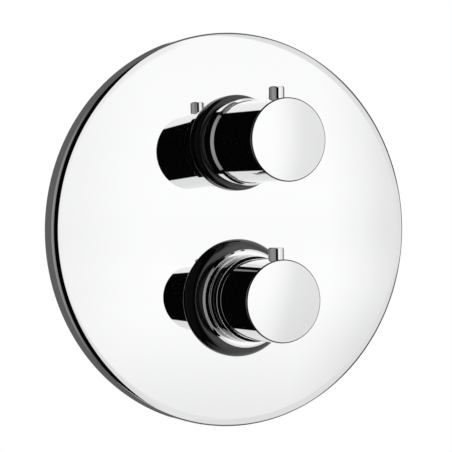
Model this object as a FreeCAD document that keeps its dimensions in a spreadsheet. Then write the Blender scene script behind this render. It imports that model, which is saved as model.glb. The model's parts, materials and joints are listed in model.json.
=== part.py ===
"""Concealed thermostatic shower valve with a round wall plate and two turning handles.

Frame: millimetres, +Z up, the user stands at -Y. The origin is the centre of the plate's back rim, on the
finished wall plane y = 0. Depths are distances from the wall plane toward the user, so they are negative for
what lies inside the wall. The upper handle turns the shut-off and outlet selector, the lower one the
temperature. Hot water comes in on the left, cold water on the right.
"""
import FreeCAD, Part
import math
import os
import re
import Sketcher

doc = FreeCAD.newDocument("ThermostaticShowerValve")

# ---------------------------------------------------------------- driving dimensions, one cell each
SIZES = {
    # wall plate: a pressed dish with a slightly domed face
    "plate_radius": 110.0,
    "plate_edge_depth": 10.5,
    "plate_dome": 2.2,
    "plate_wall": 1.5,
    "plate_edge_round": 3.8,
    "gasket_width": 5.0,
    "gasket_thickness": 3.0,
    # the two axes, as heights above the plate's centre
    "upper_axis": 48.4,
    "lower_axis": -38.0,
    # handles and their lever pins
    "handle_radius": 22.5,
    "handle_wall": 3.0,
    "handle_cap": 4.0,
    "handle_edge_round": 0.8,
    "handle_standoff": 6.0,
    "upper_handle_front": 75.0,
    "lower_handle_front": 67.5,
    "pin_radius": 4.25,
    "pin_rise": 6.3,
    "pin_chamfer": 0.5,
    "upper_pin_setback": 13.7,
    "lower_pin_setback": 8.7,
    # rubber rings, sleeves and the collar in front of the plate
    "upper_ring_width": 2.7,
    "upper_ring_thickness": 5.0,
    "upper_ring_round": 1.5,
    "lower_ring_width": 9.0,
    "lower_ring_thickness": 5.5,
    "lower_ring_round": 1.2,
    "upper_sleeve_wall": 1.2,
    "upper_sleeve_front": 31.0,
    "upper_sleeve_bevel": 2.2,
    "lower_sleeve_wall": 1.0,
    "lower_sleeve_front": 26.6,
    "collar_wall": 3.4,
    "collar_length": 7.0,
    "collar_chamfer": 1.0,
    "front_ring_seam": 0.4,
    "front_ring_length": 7.2,
    "turning_gap": 0.3,
    # brass valve body inside the wall
    "body_front": -4.0,
    "chamber_wall": 4.0,
    "thermostat_bore": 17.0,
    "outlet_room": 7.0,
    "selector_bore": 15.0,
    "selector_floor": -40.0,
    "web_half_width": 16.0,
    "arm_depth": -36.0,
    "arm_wall": 3.7,
    "top_outlet_reach": 35.6,
    "side_outlet_reach": 62.0,
    "thread_radius": 9.3,
    "thread_depth": 16.0,
    "arm_bore": 8.0,
    "duct_radius": 4.0,
    "duct_spacing": 9.0,
    "mixed_duct_radius": 4.5,
    "mixed_duct_step": 0.5,
    "port_radius": 2.8,
    "port_circle": 7.0,
    "port_length": 10.0,
    "outlet_offset": 4.0,
    # retaining nuts
    "nut_step": 2.0,
    "nut_thread_length": 8.0,
    "nut_shoulder": 2.0,
    "nut_hex_height": 7.0,
    "spigot_length": 13.0,
    # front ends that both cartridges share
    "flange_thickness": 3.0,
    "neck_wall": 1.0,
    "neck_reach": 12.0,
    "spindle_radius": 5.0,
    "spindle_tip": 1.0,
    "spindle_square": 7.0,
    "running_gap": 0.05,
    "circlip_radius": 7.0,
    "circlip_thickness": 1.0,
    "circlip_groove": 0.7,
    "circlip_slot": 5.0,
    "carrier_standoff": 3.7,
    "carrier_length": 12.0,
    "grub_radius": 2.5,
    "grub_length": 8.0,
    "grub_sink": 0.4,
    "grub_socket": 2.5,
    "stop_ring_wall": 5.0,
    "stop_ring_thickness": 6.0,
    "stop_lug_height": 4.0,
    "stop_lug_angle": 78.0,
    "stop_lug_middle_angle": 210.0,
    "carrier_lug_angle": 38.0,
    "carrier_lug_middle_angle": 90.0,
    # thermostat cartridge
    "housing_wall": 5.7,
    "housing_end_land": 4.5,
    "bottom_lip": 4.0,
    "bottom_lip_thickness": 2.0,
    "spindle_collar_radius": 8.0,
    "spindle_collar_thickness": 3.0,
    "spindle_thread_radius": 4.0,
    "adjuster_length": 9.0,
    "adjuster_room": 2.7,
    "key_width": 3.0,
    "key_height": 1.5,
    "element_radius": 4.5,
    "element_length": 15.5,
    "element_flange_gap": 1.2,
    "element_flange_thickness": 2.0,
    "element_piston_radius": 2.0,
    "element_piston_rise": 2.0,
    "element_piston_gap": 1.0,
    "shuttle_length": 7.0,
    "shuttle_bore": 6.5,
    "window_radius": 2.0,
    "screen_recess": 1.2,
    "screen_wall": 0.5,
    "screen_width": 5.0,
    "overload_spring_radius": 7.5,
    "overload_spring_length": 7.5,
    "overload_wire_radius": 0.8,
    "return_spring_radius": 8.6,
    "return_wire_radius": 0.6,
    # rubber rings in grooves
    "seal_section": 0.88,
    "seal_groove_width": 2.4,
    "seal_squeeze_gap": 0.04,
    "thermostat_seal_spacing": 10.5,
    "selector_front_seal_depth": -20.0,
    "selector_back_seal_depth": -34.0,
    # outlet selector cartridge
    "cavity_wall": 1.2,
    "base_seal_thickness": 3.0,
    "fixed_disc_thickness": 5.0,
    "moving_disc_thickness": 4.0,
    "driver_thickness": 3.0,
    "driver_radius": 9.0,
    "disc_gap": 0.6,
    "channel_depth": 1.5,
    "channel_angle": 120.0,
    "tongue_length": 10.0,
    "tongue_width": 3.0,
    "tongue_height": 1.0,
    # quarter-turn service stops in the inlet arms
    "stop_chamber_gap": 1.0,
    "stop_bore": 8.0,
    "stop_back_reach": 14.0,
    "stop_front_reach": 16.0,
    "stop_boss_reach": 22.0,
    "stop_neck_radius": 5.0,
    "stop_neck_rise": 5.0,
    "stop_port_radius": 5.0,
    "stop_seal_reach": 12.0,
    "stop_slot_width": 1.6,
    "stop_slot_depth": 2.0,
    "gland_flange_width": 2.0,
    "gland_flange_thickness": 3.0,
    # non-return valves and strainers in the inlet arms
    "check_stop_gap": 3.0,
    "check_length": 12.0,
    "check_wall": 2.0,
    "check_seat_thickness": 2.0,
    "check_seat_bore": 4.5,
    "check_spider_thickness": 1.5,
    "check_spider_hole": 1.8,
    "check_stem_radius": 1.3,
    "check_stem_inset": 1.2,
    "poppet_gap": 0.6,
    "poppet_thickness": 1.5,
    "check_spring_radius": 3.2,
    "check_wire_radius": 0.35,
    "strainer_length": 7.0,
    "strainer_rim": 1.5,
    "strainer_wall": 0.6,
    "strainer_hole": 0.9,
    # steel bracket behind the body
    "bracket_thickness": 2.0,
    "bracket_corner": 8.0,
    "bracket_hole_radius": 3.0,
    "bracket_hole_spacing": 90.0,
    "bracket_side_margin": 10.0,
    "bracket_end_margin": 15.0,
    "screw_radius": 2.5,
    "screw_length": 12.0,
    "screw_head_radius": 4.5,
    "screw_head_height": 3.0,
    "screw_socket": 4.0,
    "screw_spacing": 20.0,
    "screw_row_spacing": 30.0,
    "screw_hole_gap": 0.2,
}

# ---------------------------------------------------------------- places worked out from the sizes
PLACES = {
    # plate
    "dome_ball": "(plate_radius^2 + plate_dome^2) / (2 * plate_dome)",
    "plate_face": "plate_edge_depth + plate_dome",
    "plate_inner_radius": "plate_radius - plate_wall",
    "dome_inner_edge": "plate_face - dome_ball + sqrt((dome_ball - plate_wall)^2 - plate_inner_radius^2)",
    "plate_inner_round": "max(plate_edge_round - plate_wall; 0.2)",
    # nuts, necks and stop ring, from the body's front toward the user
    "nut_thread_radius": "thermostat_bore + nut_step",
    "nut_flats": "2 * (nut_thread_radius + nut_shoulder)",
    "chamber_radius": "nut_thread_radius + chamber_wall",
    "mouth_floor": "body_front - nut_thread_length - flange_thickness",
    "hex_front": "body_front + nut_hex_height",
    "spigot_front": "hex_front + spigot_length",
    "stop_ring_front": "spigot_front + stop_ring_thickness",
    "neck_front": "spigot_front + neck_reach",
    "circlip_back": "neck_front + turning_gap",
    "carrier_back": "circlip_back + circlip_thickness + carrier_standoff",
    "carrier_front": "carrier_back + carrier_length",
    "spindle_front": "carrier_front + spindle_tip",
    "grub_depth": "(carrier_back + carrier_front) / 2",
    # handles, sleeves, rings and collar
    "handle_bore": "handle_radius - handle_wall",
    "handle_back": "spigot_front + handle_standoff",
    "grub_outer": "handle_radius - grub_sink",
    "upper_pin_depth": "upper_handle_front - upper_pin_setback",
    "lower_pin_depth": "lower_handle_front - lower_pin_setback",
    "sleeve_bore": "handle_radius + turning_gap",
    "upper_sleeve_radius": "sleeve_bore + upper_sleeve_wall",
    "lower_sleeve_radius": "sleeve_bore + lower_sleeve_wall",
    "upper_ring_radius": "upper_sleeve_radius + upper_ring_width",
    "lower_ring_radius": "lower_sleeve_radius + lower_ring_width",
    "upper_ring_front": "plate_face - plate_dome * (upper_axis / plate_radius)^2 + upper_ring_thickness",
    "lower_ring_front": "plate_face - plate_dome * (lower_axis / plate_radius)^2 + lower_ring_thickness",
    "collar_radius": "lower_sleeve_radius + collar_wall",
    "collar_front": "lower_ring_front + collar_length",
    "front_ring_back": "lower_sleeve_front + front_ring_seam",
    "front_ring_front": "front_ring_back + front_ring_length",
    # thermostat cartridge, about the depth where the inlet arms meet it
    "hot_duct_depth": "arm_depth + duct_spacing / 2",
    "cold_duct_depth": "arm_depth - duct_spacing / 2",
    "thermostat_body": "thermostat_bore - turning_gap",
    "thermostat_cavity": "thermostat_body - housing_wall",
    "neck_radius": "thermostat_cavity + neck_wall",
    "neck_hole": "neck_radius + turning_gap",
    "stop_ring_radius": "neck_radius + stop_ring_wall",
    "spindle_bore": "spindle_radius + running_gap",
    "shuttle_front": "arm_depth + shuttle_length / 2",
    "shuttle_back": "arm_depth - shuttle_length / 2",
    "element_end": "shuttle_front - element_length",
    "element_flange_front": "shuttle_front + element_flange_thickness",
    "spindle_thread_end": "element_flange_front + element_piston_rise + element_piston_gap",
    "adjuster_back": "element_flange_front + overload_spring_length",
    "adjuster_front": "adjuster_back + adjuster_length",
    "collar_back_face": "adjuster_front + adjuster_room",
    "collar_front_face": "collar_back_face + spindle_collar_thickness",
    "shoulder_depth": "collar_front_face + turning_gap",
    "slider_radius": "thermostat_cavity - turning_gap",
    "element_flange_radius": "slider_radius - element_flange_gap",
    "front_seal_depth": "arm_depth + thermostat_seal_spacing",
    "back_seal_depth": "arm_depth - thermostat_seal_spacing",
    "housing_bottom": "back_seal_depth - housing_end_land",
    "lip_front": "housing_bottom + bottom_lip_thickness",
    "thermostat_floor": "housing_bottom - outlet_room",
    "screen_floor": "thermostat_body - screen_recess",
    "thermostat_groove": "thermostat_bore - seal_squeeze_gap - 2 * seal_section",
    # outlet selector cartridge, from the chamber's floor toward the user
    "selector_body": "selector_bore - turning_gap",
    "selector_groove": "selector_bore - seal_squeeze_gap - 2 * seal_section",
    "selector_cavity": "selector_groove - cavity_wall",
    "fixed_disc_back": "selector_floor + base_seal_thickness",
    "fixed_disc_front": "fixed_disc_back + fixed_disc_thickness",
    "moving_disc_front": "fixed_disc_front + moving_disc_thickness",
    "driver_front": "moving_disc_front + driver_thickness",
    "cavity_front": "driver_front + turning_gap",
    "moving_disc_radius": "selector_cavity - disc_gap",
    "channel_inner": "port_circle - port_radius",
    "channel_outer": "port_circle + port_radius",
    # service stops
    "stop_boss_radius": "stop_bore + chamber_wall",
    "gland_flange_radius": "stop_bore + gland_flange_width",
    "stop_offset": "chamber_radius + stop_chamber_gap + gland_flange_radius",
    "stop_plug_radius": "stop_bore - running_gap",
    "stop_groove": "stop_bore - seal_squeeze_gap - 2 * seal_section",
    "stop_plug_back": "arm_depth - stop_back_reach",
    "stop_plug_front": "arm_depth + stop_front_reach",
    "stop_seal_depth": "arm_depth + stop_seal_reach",
    "stop_boss_front": "arm_depth + stop_boss_reach",
    "stop_neck_front": "stop_boss_front + stop_neck_rise",
    "gland_back": "stop_plug_front + turning_gap",
    "gland_hole": "stop_neck_radius + turning_gap",
    # non-return valves and strainers, as distances from the thermostat's axis
    "check_inner_end": "stop_offset + stop_bore + check_stop_gap",
    "check_outer_end": "check_inner_end + check_length",
    "check_bore": "arm_bore - check_wall",
    "check_stem_end": "check_inner_end + check_stem_inset",
    "seat_face": "check_outer_end - check_seat_thickness",
    "spider_face": "check_inner_end + check_spider_thickness",
    "poppet_radius": "check_bore - poppet_gap",
    "poppet_outer": "seat_face - turning_gap",
    "poppet_inner": "poppet_outer - poppet_thickness",
    "strainer_cup_radius": "arm_bore - strainer_rim",
    # valve body
    "arm_radius": "thread_radius + arm_wall",
    "thread_floor_arm": "check_outer_end + strainer_length",
    "arm_reach": "thread_floor_arm + thread_depth",
    "body_back": "thermostat_floor - chamber_wall",
    "mixed_duct_depth": "thermostat_floor + mixed_duct_radius + mixed_duct_step",
    "outlet_duct_depth": "selector_floor - port_length",
    "outlet_depth": "outlet_duct_depth + outlet_offset",
    "top_outlet_height": "upper_axis + top_outlet_reach",
    "thread_floor_top": "top_outlet_height - thread_depth",
    "thread_floor_side": "side_outlet_reach - thread_depth",
    # bracket
    "bracket_back": "body_back - bracket_thickness",
    "bracket_centre": "(upper_axis + lower_axis) / 2",
    "bracket_half_width": "bracket_hole_spacing / 2 + bracket_side_margin",
    "bracket_height": "bracket_hole_spacing + 2 * bracket_end_margin",
}


def spreadsheet(name, cells, formula=""):
    """A sheet with one row for each named value; formula is what stands before each cell's text."""
    sheet = doc.addObject("Spreadsheet::Sheet", name)
    for row, (alias, content) in enumerate(cells.items(), start=1):
        sheet.set("A%d" % row, alias)
        sheet.set("B%d" % row, formula + (bound(content) if formula else str(content)))
        sheet.setAlias("B%d" % row, alias)
    doc.recompute()
    return sheet


def bound(text):
    """The expression with each named value led back to its sheet."""
    def lead(match):
        word = match.group()
        if word in SIZES:
            return "Sizes." + word
        return "Places." + word if word in PLACES else word
    return re.sub(r"[a-z]+(_[a-z]+)+", lead, text)


spreadsheet("Sizes", SIZES)
places = spreadsheet("Places", PLACES, "=")


def value(text):
    """The number that an expression of the named values gives now."""
    return float(places.evalExpression(bound(text)))


# ---------------------------------------------------------------- ways to build a piece
nodes = []
SAME_PLACE = 1e-4
X_AXIS = FreeCAD.Vector(1, 0, 0)
Y_AXIS = FreeCAD.Vector(0, 1, 0)
Z_AXIS = FreeCAD.Vector(0, 0, 1)
FACING = {
    "front": FreeCAD.Rotation(X_AXIS, 90),
    "up": FreeCAD.Rotation(),
    "right": FreeCAD.Rotation(Y_AXIS, 90),
    "left": FreeCAD.Rotation(Y_AXIS, -90),
}


def keep(piece, label):
    """Names a finished piece and puts it on the list of sub-parts."""
    piece.Label = label
    nodes.append(piece)
    return piece


def name_of(label):
    return "".join(word.capitalize() for word in label.split("_"))


def place(piece, facing, at):
    """Turns the piece's own Z the way it faces and ties its origin to the expressions in at (x, y, z)."""
    piece.Placement = FreeCAD.Placement(FreeCAD.Vector(), FACING[facing])
    for letter, text in zip("xyz", at):
        piece.setExpression("Placement.Base." + letter, bound(text))
    return piece


def side_plane(body):
    """The body's own XZ plane: across is its X, along is its Z."""
    return [feature for feature in body.Origin.OriginFeatures if feature.Role == "XZ_Plane"][0]


def new_sketch(body, name):
    sketch = body.newObject("Sketcher::SketchObject", name)
    sketch.AttachmentSupport = (side_plane(body), [""])
    sketch.MapMode = "FlatFace"
    return sketch


def tie(sketch, kind, name, item, point, text):
    """Holds one coordinate of a sketch point at an expression; a plain 0 holds it on the axis itself."""
    if text == "0":
        axis = -2 if kind == "DistanceX" else -1
        sketch.addConstraint(Sketcher.Constraint("PointOnObject", item, point, axis))
        return
    index = sketch.addConstraint(Sketcher.Constraint(kind, item, point, value(text)))
    sketch.renameConstraint(index, name)
    sketch.setExpression("Constraints." + name, bound(text))


def outline(sketch, profile):
    """Draws a closed outline of corners (across, along). A third entry, "ball", makes the stretch that ends
    at that corner an arc about a centre on the sketch's upright axis, so that it turns into a ball's cap."""
    points = [FreeCAD.Vector(value(corner[0]), value(corner[1]), 0) for corner in profile]
    count = len(points)
    ends = {}
    for index, start in enumerate(points):
        end = points[(index + 1) % count]
        if len(profile[(index + 1) % count]) == 3:
            centre = (start.x**2 + start.y**2 - end.x**2 - end.y**2) / (2 * (start.y - end.y))
            ball = math.hypot(start.x, start.y - centre)
            circle = Part.Circle(FreeCAD.Vector(0, centre, 0), Z_AXIS, ball)
            first, last = circle.parameter(start), circle.parameter(end)
            backward = (last - first) % (2 * math.pi) > math.pi
            arc = Part.ArcOfCircle(circle, last, first) if backward else Part.ArcOfCircle(circle, first, last)
            sketch.addGeometry(arc, False)
            sketch.addConstraint(Sketcher.Constraint("PointOnObject", index, 3, -2))
            ends[index] = (2, 1) if backward else (1, 2)
        else:
            sketch.addGeometry(Part.LineSegment(start, end), False)
            ends[index] = (1, 2)
    for index in range(count):
        after = (index + 1) % count
        sketch.addConstraint(Sketcher.Constraint("Coincident", index, ends[index][1], after, ends[after][0]))
    for index, corner in enumerate(profile):
        tie(sketch, "DistanceX", "across_%d" % index, index, ends[index][0], corner[0])
        tie(sketch, "DistanceY", "along_%d" % index, index, ends[index][0], corner[1])


def turned(label, profile, facing="front", at=("0", "0", "0")):
    """A body turned about its own Z from an outline of (radius, distance along the axis) corners."""
    body = doc.addObject("PartDesign::Body", name_of(label))
    body.Label = label + "_body"
    sketch = new_sketch(body, name_of(label) + "Profile")
    outline(sketch, profile)
    revolution = body.newObject("PartDesign::Revolution", name_of(label) + "Turned")
    revolution.Profile = sketch
    revolution.ReferenceAxis = (sketch, ["V_Axis"])
    revolution.Angle = 360
    return place(body, facing, at)


def on_axis(height, across="0"):
    """Where a piece on one of the two handle axes has its origin: on the wall plane, at that height."""
    return (across, "0", height)


def rim_edges(shape, radius, along):
    """Names of the circular edges about the piece's Z with this radius at this distance along it."""
    return [
        "Edge%d" % number
        for number, edge in enumerate(shape.Edges, start=1)
        if not edge.Degenerated
        and isinstance(edge.Curve, Part.Circle)
        and abs(edge.Curve.Radius - radius) < SAME_PLACE
        and abs(edge.Curve.Center.z - along) < SAME_PLACE
    ]


def dress(body, kind, radius, along, size):
    """Fillets or chamfers (kind) one round edge of a turned body."""
    doc.recompute()
    base = body.Tip
    feature = body.newObject("PartDesign::" + kind, base.Name + kind)
    feature.Base = (base, rim_edges(base.Shape, value(radius), value(along)))
    feature.setExpression("Radius" if kind == "Fillet" else "Size", bound(size))
    return feature


def side_hole(body, name, radius, along, depth, upward):
    """Drills from the axis out through one side (the piece's +Y or -Y) of a turned body."""
    sketch = new_sketch(body, name + "Circle")
    sketch.addGeometry(Part.Circle(FreeCAD.Vector(0, value(along), 0), Z_AXIS, value(radius)), False)
    sketch.addConstraint(Sketcher.Constraint("PointOnObject", 0, 3, -2))
    tie(sketch, "DistanceY", "along", 0, 3, along)
    index = sketch.addConstraint(Sketcher.Constraint("Radius", 0, value(radius)))
    sketch.renameConstraint(index, "radius")
    sketch.setExpression("Constraints.radius", bound(radius))
    pocket = body.newObject("PartDesign::Pocket", name)
    pocket.Profile = sketch
    pocket.setExpression("Length", bound(depth))
    pocket.Reversed = not upward
    return pocket


def rod(name, radius, start, end, facing="front", across="0", height="0", depth="0", angle=None):
    """A plain cylinder. Facing front it runs between two depths; facing up or down, right or left it runs
    between two distances from the origin along that way, at the depth given."""
    cylinder = doc.addObject("Part::Cylinder", name)
    cylinder.setExpression("Radius", bound(radius))
    cylinder.setExpression("Height", bound("(%s) - (%s)" % (end, start)))
    if angle:
        cylinder.setExpression("Angle", bound(angle))
    spots = {
        "front": (across, "-(%s)" % start, height),
        "up": (across, "-(%s)" % depth, start),
        "right": (start, "-(%s)" % depth, height),
        "left": ("-(%s)" % start, "-(%s)" % depth, height),
    }
    return place(cylinder, facing, spots[facing])


def block(name, across, depth, height):
    """A box between (low, high) pairs of expressions across, in depth (toward the user) and in height."""
    box = doc.addObject("Part::Box", name)
    for side, (low, high) in (("Length", across), ("Width", depth), ("Height", height)):
        box.setExpression(side, bound("(%s) - (%s)" % (high, low)))
    return place(box, "up", (across[0], "-(%s)" % depth[1], height[0]))


def hexagon(name, flats, start, end, height, across="0", facing="front", depth="0"):
    """A hexagonal bar, flats is its width across flats, with two flats facing sideways."""
    prism = doc.addObject("Part::Prism", name)
    prism.Polygon = 6
    prism.setExpression("Circumradius", bound("(%s) / sqrt(3)" % flats))
    prism.setExpression("Height", bound("(%s) - (%s)" % (end, start)))
    spot = (across, "-(%s)" % start, height) if facing == "front" else (across, "-(%s)" % depth, start)
    place(prism, facing, spot)
    twelfth = FreeCAD.Rotation(Z_AXIS, 30)
    prism.Placement = FreeCAD.Placement(prism.Placement.Base, FACING[facing].multiply(twelfth))
    return prism


def fused(name, pieces):
    fusion = doc.addObject("Part::MultiFuse", name)
    fusion.Shapes = pieces
    return fusion


def cut(name, base, tools):
    """The base without the tools."""
    difference = doc.addObject("Part::Cut", name)
    difference.Base = base
    difference.Tool = fused(name + "Tools", tools) if len(tools) > 1 else tools[0]
    return difference


def ring_of(name, radius, wall_inner, start, end, height, across="0"):
    """A plain tube on a front-facing axis."""
    outer = rod(name + "Outer", radius, start, end, height=height, across=across)
    inner = rod(name + "Inner", wall_inner, start, end, height=height, across=across)
    return cut(name, outer, [inner])


def seal(name, groove, depth, height, across="0"):
    """One rubber ring lying in a groove with this floor radius."""
    torus = doc.addObject("Part::Torus", name)
    torus.setExpression("Radius1", bound("%s + seal_section" % groove))
    torus.setExpression("Radius2", bound("seal_section"))
    return place(torus, "front", (across, "-(%s)" % depth, height))


def spring(label, mean, wire, start, end, turns, facing, at):
    """An open coil spring between two distances along its axis, its wire inside both."""
    body = doc.addObject("PartDesign::Body", name_of(label))
    sketch = new_sketch(body, name_of(label) + "Wire")
    centre = FreeCAD.Vector(value(mean), value("(%s) + %s" % (start, wire)), 0)
    sketch.addGeometry(Part.Circle(centre, Z_AXIS, value(wire)), False)
    tie(sketch, "DistanceX", "mean", 0, 3, mean)
    tie(sketch, "DistanceY", "along", 0, 3, "(%s) + %s" % (start, wire))
    index = sketch.addConstraint(Sketcher.Constraint("Radius", 0, value(wire)))
    sketch.renameConstraint(index, "wire")
    sketch.setExpression("Constraints.wire", bound(wire))
    coil = body.newObject("PartDesign::AdditiveHelix", name_of(label) + "Coil")
    coil.Profile = sketch
    coil.ReferenceAxis = (sketch, ["V_Axis"])
    coil.Mode = "height-turns-angle"
    coil.Turns = turns
    coil.setExpression("Height", bound("(%s) - (%s) - 2 * %s" % (end, start, wire)))
    place(body, facing, at)
    return keep(body, label)


# ---------------------------------------------------------------- wall plate
def wall_plate():
    plate = turned("wall_plate", [
        ("0", "plate_face"),
        ("plate_radius", "plate_edge_depth", "ball"),
        ("plate_radius", "0"),
        ("plate_inner_radius", "0"),
        ("plate_inner_radius", "dome_inner_edge"),
        ("0", "plate_face - plate_wall", "ball"),
    ])
    dress(plate, "Fillet", "plate_radius", "plate_edge_depth", "plate_edge_round")
    dress(plate, "Fillet", "plate_inner_radius", "dome_inner_edge", "plate_inner_round")
    holes = [
        rod("UpperPlateHole", "upper_sleeve_radius + turning_gap", "0", "upper_ring_front",
            height="upper_axis"),
        rod("LowerPlateHole", "lower_sleeve_radius + turning_gap", "0", "lower_ring_front",
            height="lower_axis"),
    ]
    keep(cut("WallPlateDrilled", plate, holes), "wall_plate")


def plate_gasket():
    outer = "plate_inner_radius"
    keep(turned("plate_gasket", [
        ("%s - gasket_width" % outer, "0"),
        (outer, "0"),
        (outer, "gasket_thickness"),
        ("%s - gasket_width" % outer, "gasket_thickness"),
    ]), "plate_gasket")


def seal_ring(label, radius, bore, front, rounding, height):
    """A rubber ring in front of the plate, its back hollowed to lie on the domed face."""
    blank = turned(label, [
        (bore, "plate_edge_depth"),
        (radius, "plate_edge_depth"),
        (radius, front),
        (bore, front),
    ], at=on_axis(height))
    dress(blank, "Fillet", radius, front, rounding)
    dome = doc.addObject("Part::Sphere", name_of(label) + "Seat")
    dome.setExpression("Radius", bound("dome_ball"))
    place(dome, "front", ("0", "-(plate_face - dome_ball)", "0"))
    keep(cut(name_of(label) + "Seated", blank, [dome]), label)


# ---------------------------------------------------------------- sleeves and the collar
def upper_sleeve():
    """A tube screwed on the nut's spigot; its front end narrows to the bore that the handle turns in."""
    keep(turned("upper_sleeve", [
        ("nut_thread_radius", "hex_front"),
        ("upper_sleeve_radius", "hex_front"),
        ("upper_sleeve_radius", "upper_sleeve_front - upper_sleeve_bevel"),
        ("sleeve_bore + turning_gap / 2", "upper_sleeve_front"),
        ("sleeve_bore", "upper_sleeve_front"),
        ("sleeve_bore", "spigot_front"),
        ("nut_thread_radius", "spigot_front"),
    ], at=on_axis("upper_axis")), "upper_sleeve")


def lower_sleeve():
    keep(turned("lower_sleeve", [
        ("nut_thread_radius", "hex_front"),
        ("lower_sleeve_radius", "hex_front"),
        ("lower_sleeve_radius", "lower_sleeve_front"),
        ("sleeve_bore", "lower_sleeve_front"),
        ("sleeve_bore", "spigot_front"),
        ("nut_thread_radius", "spigot_front"),
    ], at=on_axis("lower_axis")), "lower_sleeve")


def lower_collar():
    """The chrome collar that is screwed down the sleeve and presses the big rubber ring on the plate."""
    collar = turned("lower_collar", [
        ("lower_sleeve_radius", "lower_ring_front"),
        ("collar_radius", "lower_ring_front"),
        ("collar_radius", "collar_front"),
        ("lower_sleeve_radius", "collar_front"),
    ], at=on_axis("lower_axis"))
    dress(collar, "Chamfer", "collar_radius", "collar_front", "collar_chamfer")
    keep(collar, "lower_collar")


def lower_front_ring():
    """A trim ring clipped in the sleeve's mouth: its thin root goes into the sleeve, a seam shows between."""
    keep(turned("lower_front_ring", [
        ("sleeve_bore", "lower_sleeve_front"),
        ("lower_sleeve_radius - front_ring_seam", "lower_sleeve_front"),
        ("lower_sleeve_radius - front_ring_seam", "front_ring_back"),
        ("lower_sleeve_radius", "front_ring_back"),
        ("lower_sleeve_radius", "front_ring_front"),
        ("sleeve_bore", "front_ring_front"),
    ], at=on_axis("lower_axis")), "lower_front_ring")


# ---------------------------------------------------------------- handles
def handle(side, front, pin_depth, height):
    """A cup-shaped handle, its lever pin at 12 o'clock, the carrier pressed inside and its grub screw."""
    cup = turned(side + "_handle", [
        ("0", front),
        ("handle_radius", front),
        ("handle_radius", "handle_back"),
        ("handle_bore", "handle_back"),
        ("handle_bore", "%s - handle_cap" % front),
        ("0", "%s - handle_cap" % front),
    ], at=on_axis(height))
    dress(cup, "Fillet", "handle_radius", front, "handle_edge_round")
    prefix = name_of(side)
    side_hole(cup, prefix + "PinHole", "pin_radius", pin_depth, "handle_radius + pin_rise", True)
    side_hole(cup, prefix + "GrubHole", "grub_radius", "grub_depth", "handle_radius + pin_rise", False)
    keep(cup, side + "_handle")

    pin = turned(side + "_handle_pin", [
        ("0", "handle_bore"),
        ("pin_radius", "handle_bore"),
        ("pin_radius", "handle_radius + pin_rise"),
        ("0", "handle_radius + pin_rise"),
    ], "up", ("0", "-(%s)" % pin_depth, height))
    dress(pin, "Chamfer", "pin_radius", "handle_radius + pin_rise", "pin_chamfer")
    keep(pin, side + "_handle_pin")

    disc = rod(prefix + "CarrierDisc", "handle_bore", "carrier_back", "carrier_front", height=height)
    half = "spindle_square / 2"
    square = block(
        prefix + "CarrierSquare",
        ("-%s" % half, half),
        ("carrier_back", "carrier_front"),
        ("%s - %s" % (height, half), "%s + %s" % (height, half)),
    )
    grub_hole = rod(
        prefix + "CarrierGrubHole", "grub_radius", "%s - handle_radius" % height,
        "%s - grub_outer + grub_length" % height, "up", depth="grub_depth",
    )
    carrier = cut(prefix + "CarrierBored", disc, [square, grub_hole])
    if side == "lower":
        lug = stop_lug("CarrierLug", "carrier_lug", "stop_ring_front + turning_gap", "carrier_back")
        carrier = fused("LowerCarrierWithLug", [carrier, lug])
    keep(carrier, side + "_handle_carrier")

    body = rod(
        prefix + "GrubBody", "grub_radius", "%s - grub_outer" % height,
        "%s - grub_outer + grub_length" % height, "up", depth="grub_depth",
    )
    socket = hexagon(
        prefix + "GrubSocket", "grub_socket", "%s - grub_outer" % height,
        "%s - grub_outer + grub_socket" % height, height, facing="up", depth="grub_depth",
    )
    keep(cut(prefix + "GrubScrewSocketed", body, [socket]), side + "_handle_grub_screw")


def stop_lug(name, size, back, front):
    """One end-stop lug on the lower axis: a sector of a ring as wide, and with its middle, as size says."""
    outer = rod(name + "Sector", "stop_ring_radius", back, front, height="lower_axis", angle=size + "_angle")
    inner = rod(name + "Bore", "neck_hole", back, front, height="lower_axis")
    turn = FreeCAD.Rotation(Z_AXIS, value("%s_middle_angle - %s_angle / 2" % (size, size)))
    outer.Placement = FreeCAD.Placement(outer.Placement.Base, FACING["front"].multiply(turn))
    return cut(name + "Shape", outer, [inner])


# ---------------------------------------------------------------- front ends of the cartridges
def retaining_nut(label, height):
    """Screws into the chamber's mouth and holds the cartridge down; its spigot carries the sleeve."""
    prefix = name_of(label)
    ring = fused(prefix + "Solid", [
        rod(prefix + "Thread", "nut_thread_radius", "body_front - nut_thread_length", "body_front",
            height=height),
        hexagon(prefix + "Hex", "nut_flats", "body_front", "hex_front", height),
        rod(prefix + "Spigot", "nut_thread_radius", "hex_front", "spigot_front", height=height),
    ])
    hole = rod(prefix + "Hole", "neck_hole", "body_front - nut_thread_length", "spigot_front", height=height)
    keep(cut(prefix + "Bored", ring, [hole]), label)


def temperature_stop_ring():
    ring = ring_of("StopRing", "stop_ring_radius", "neck_radius", "spigot_front", "stop_ring_front",
        "lower_axis")
    lug = stop_lug("StopLug", "stop_lug", "stop_ring_front", "stop_ring_front + stop_lug_height")
    keep(fused("StopRingWithLug", [ring, lug]), "temperature_stop_ring")


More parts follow.
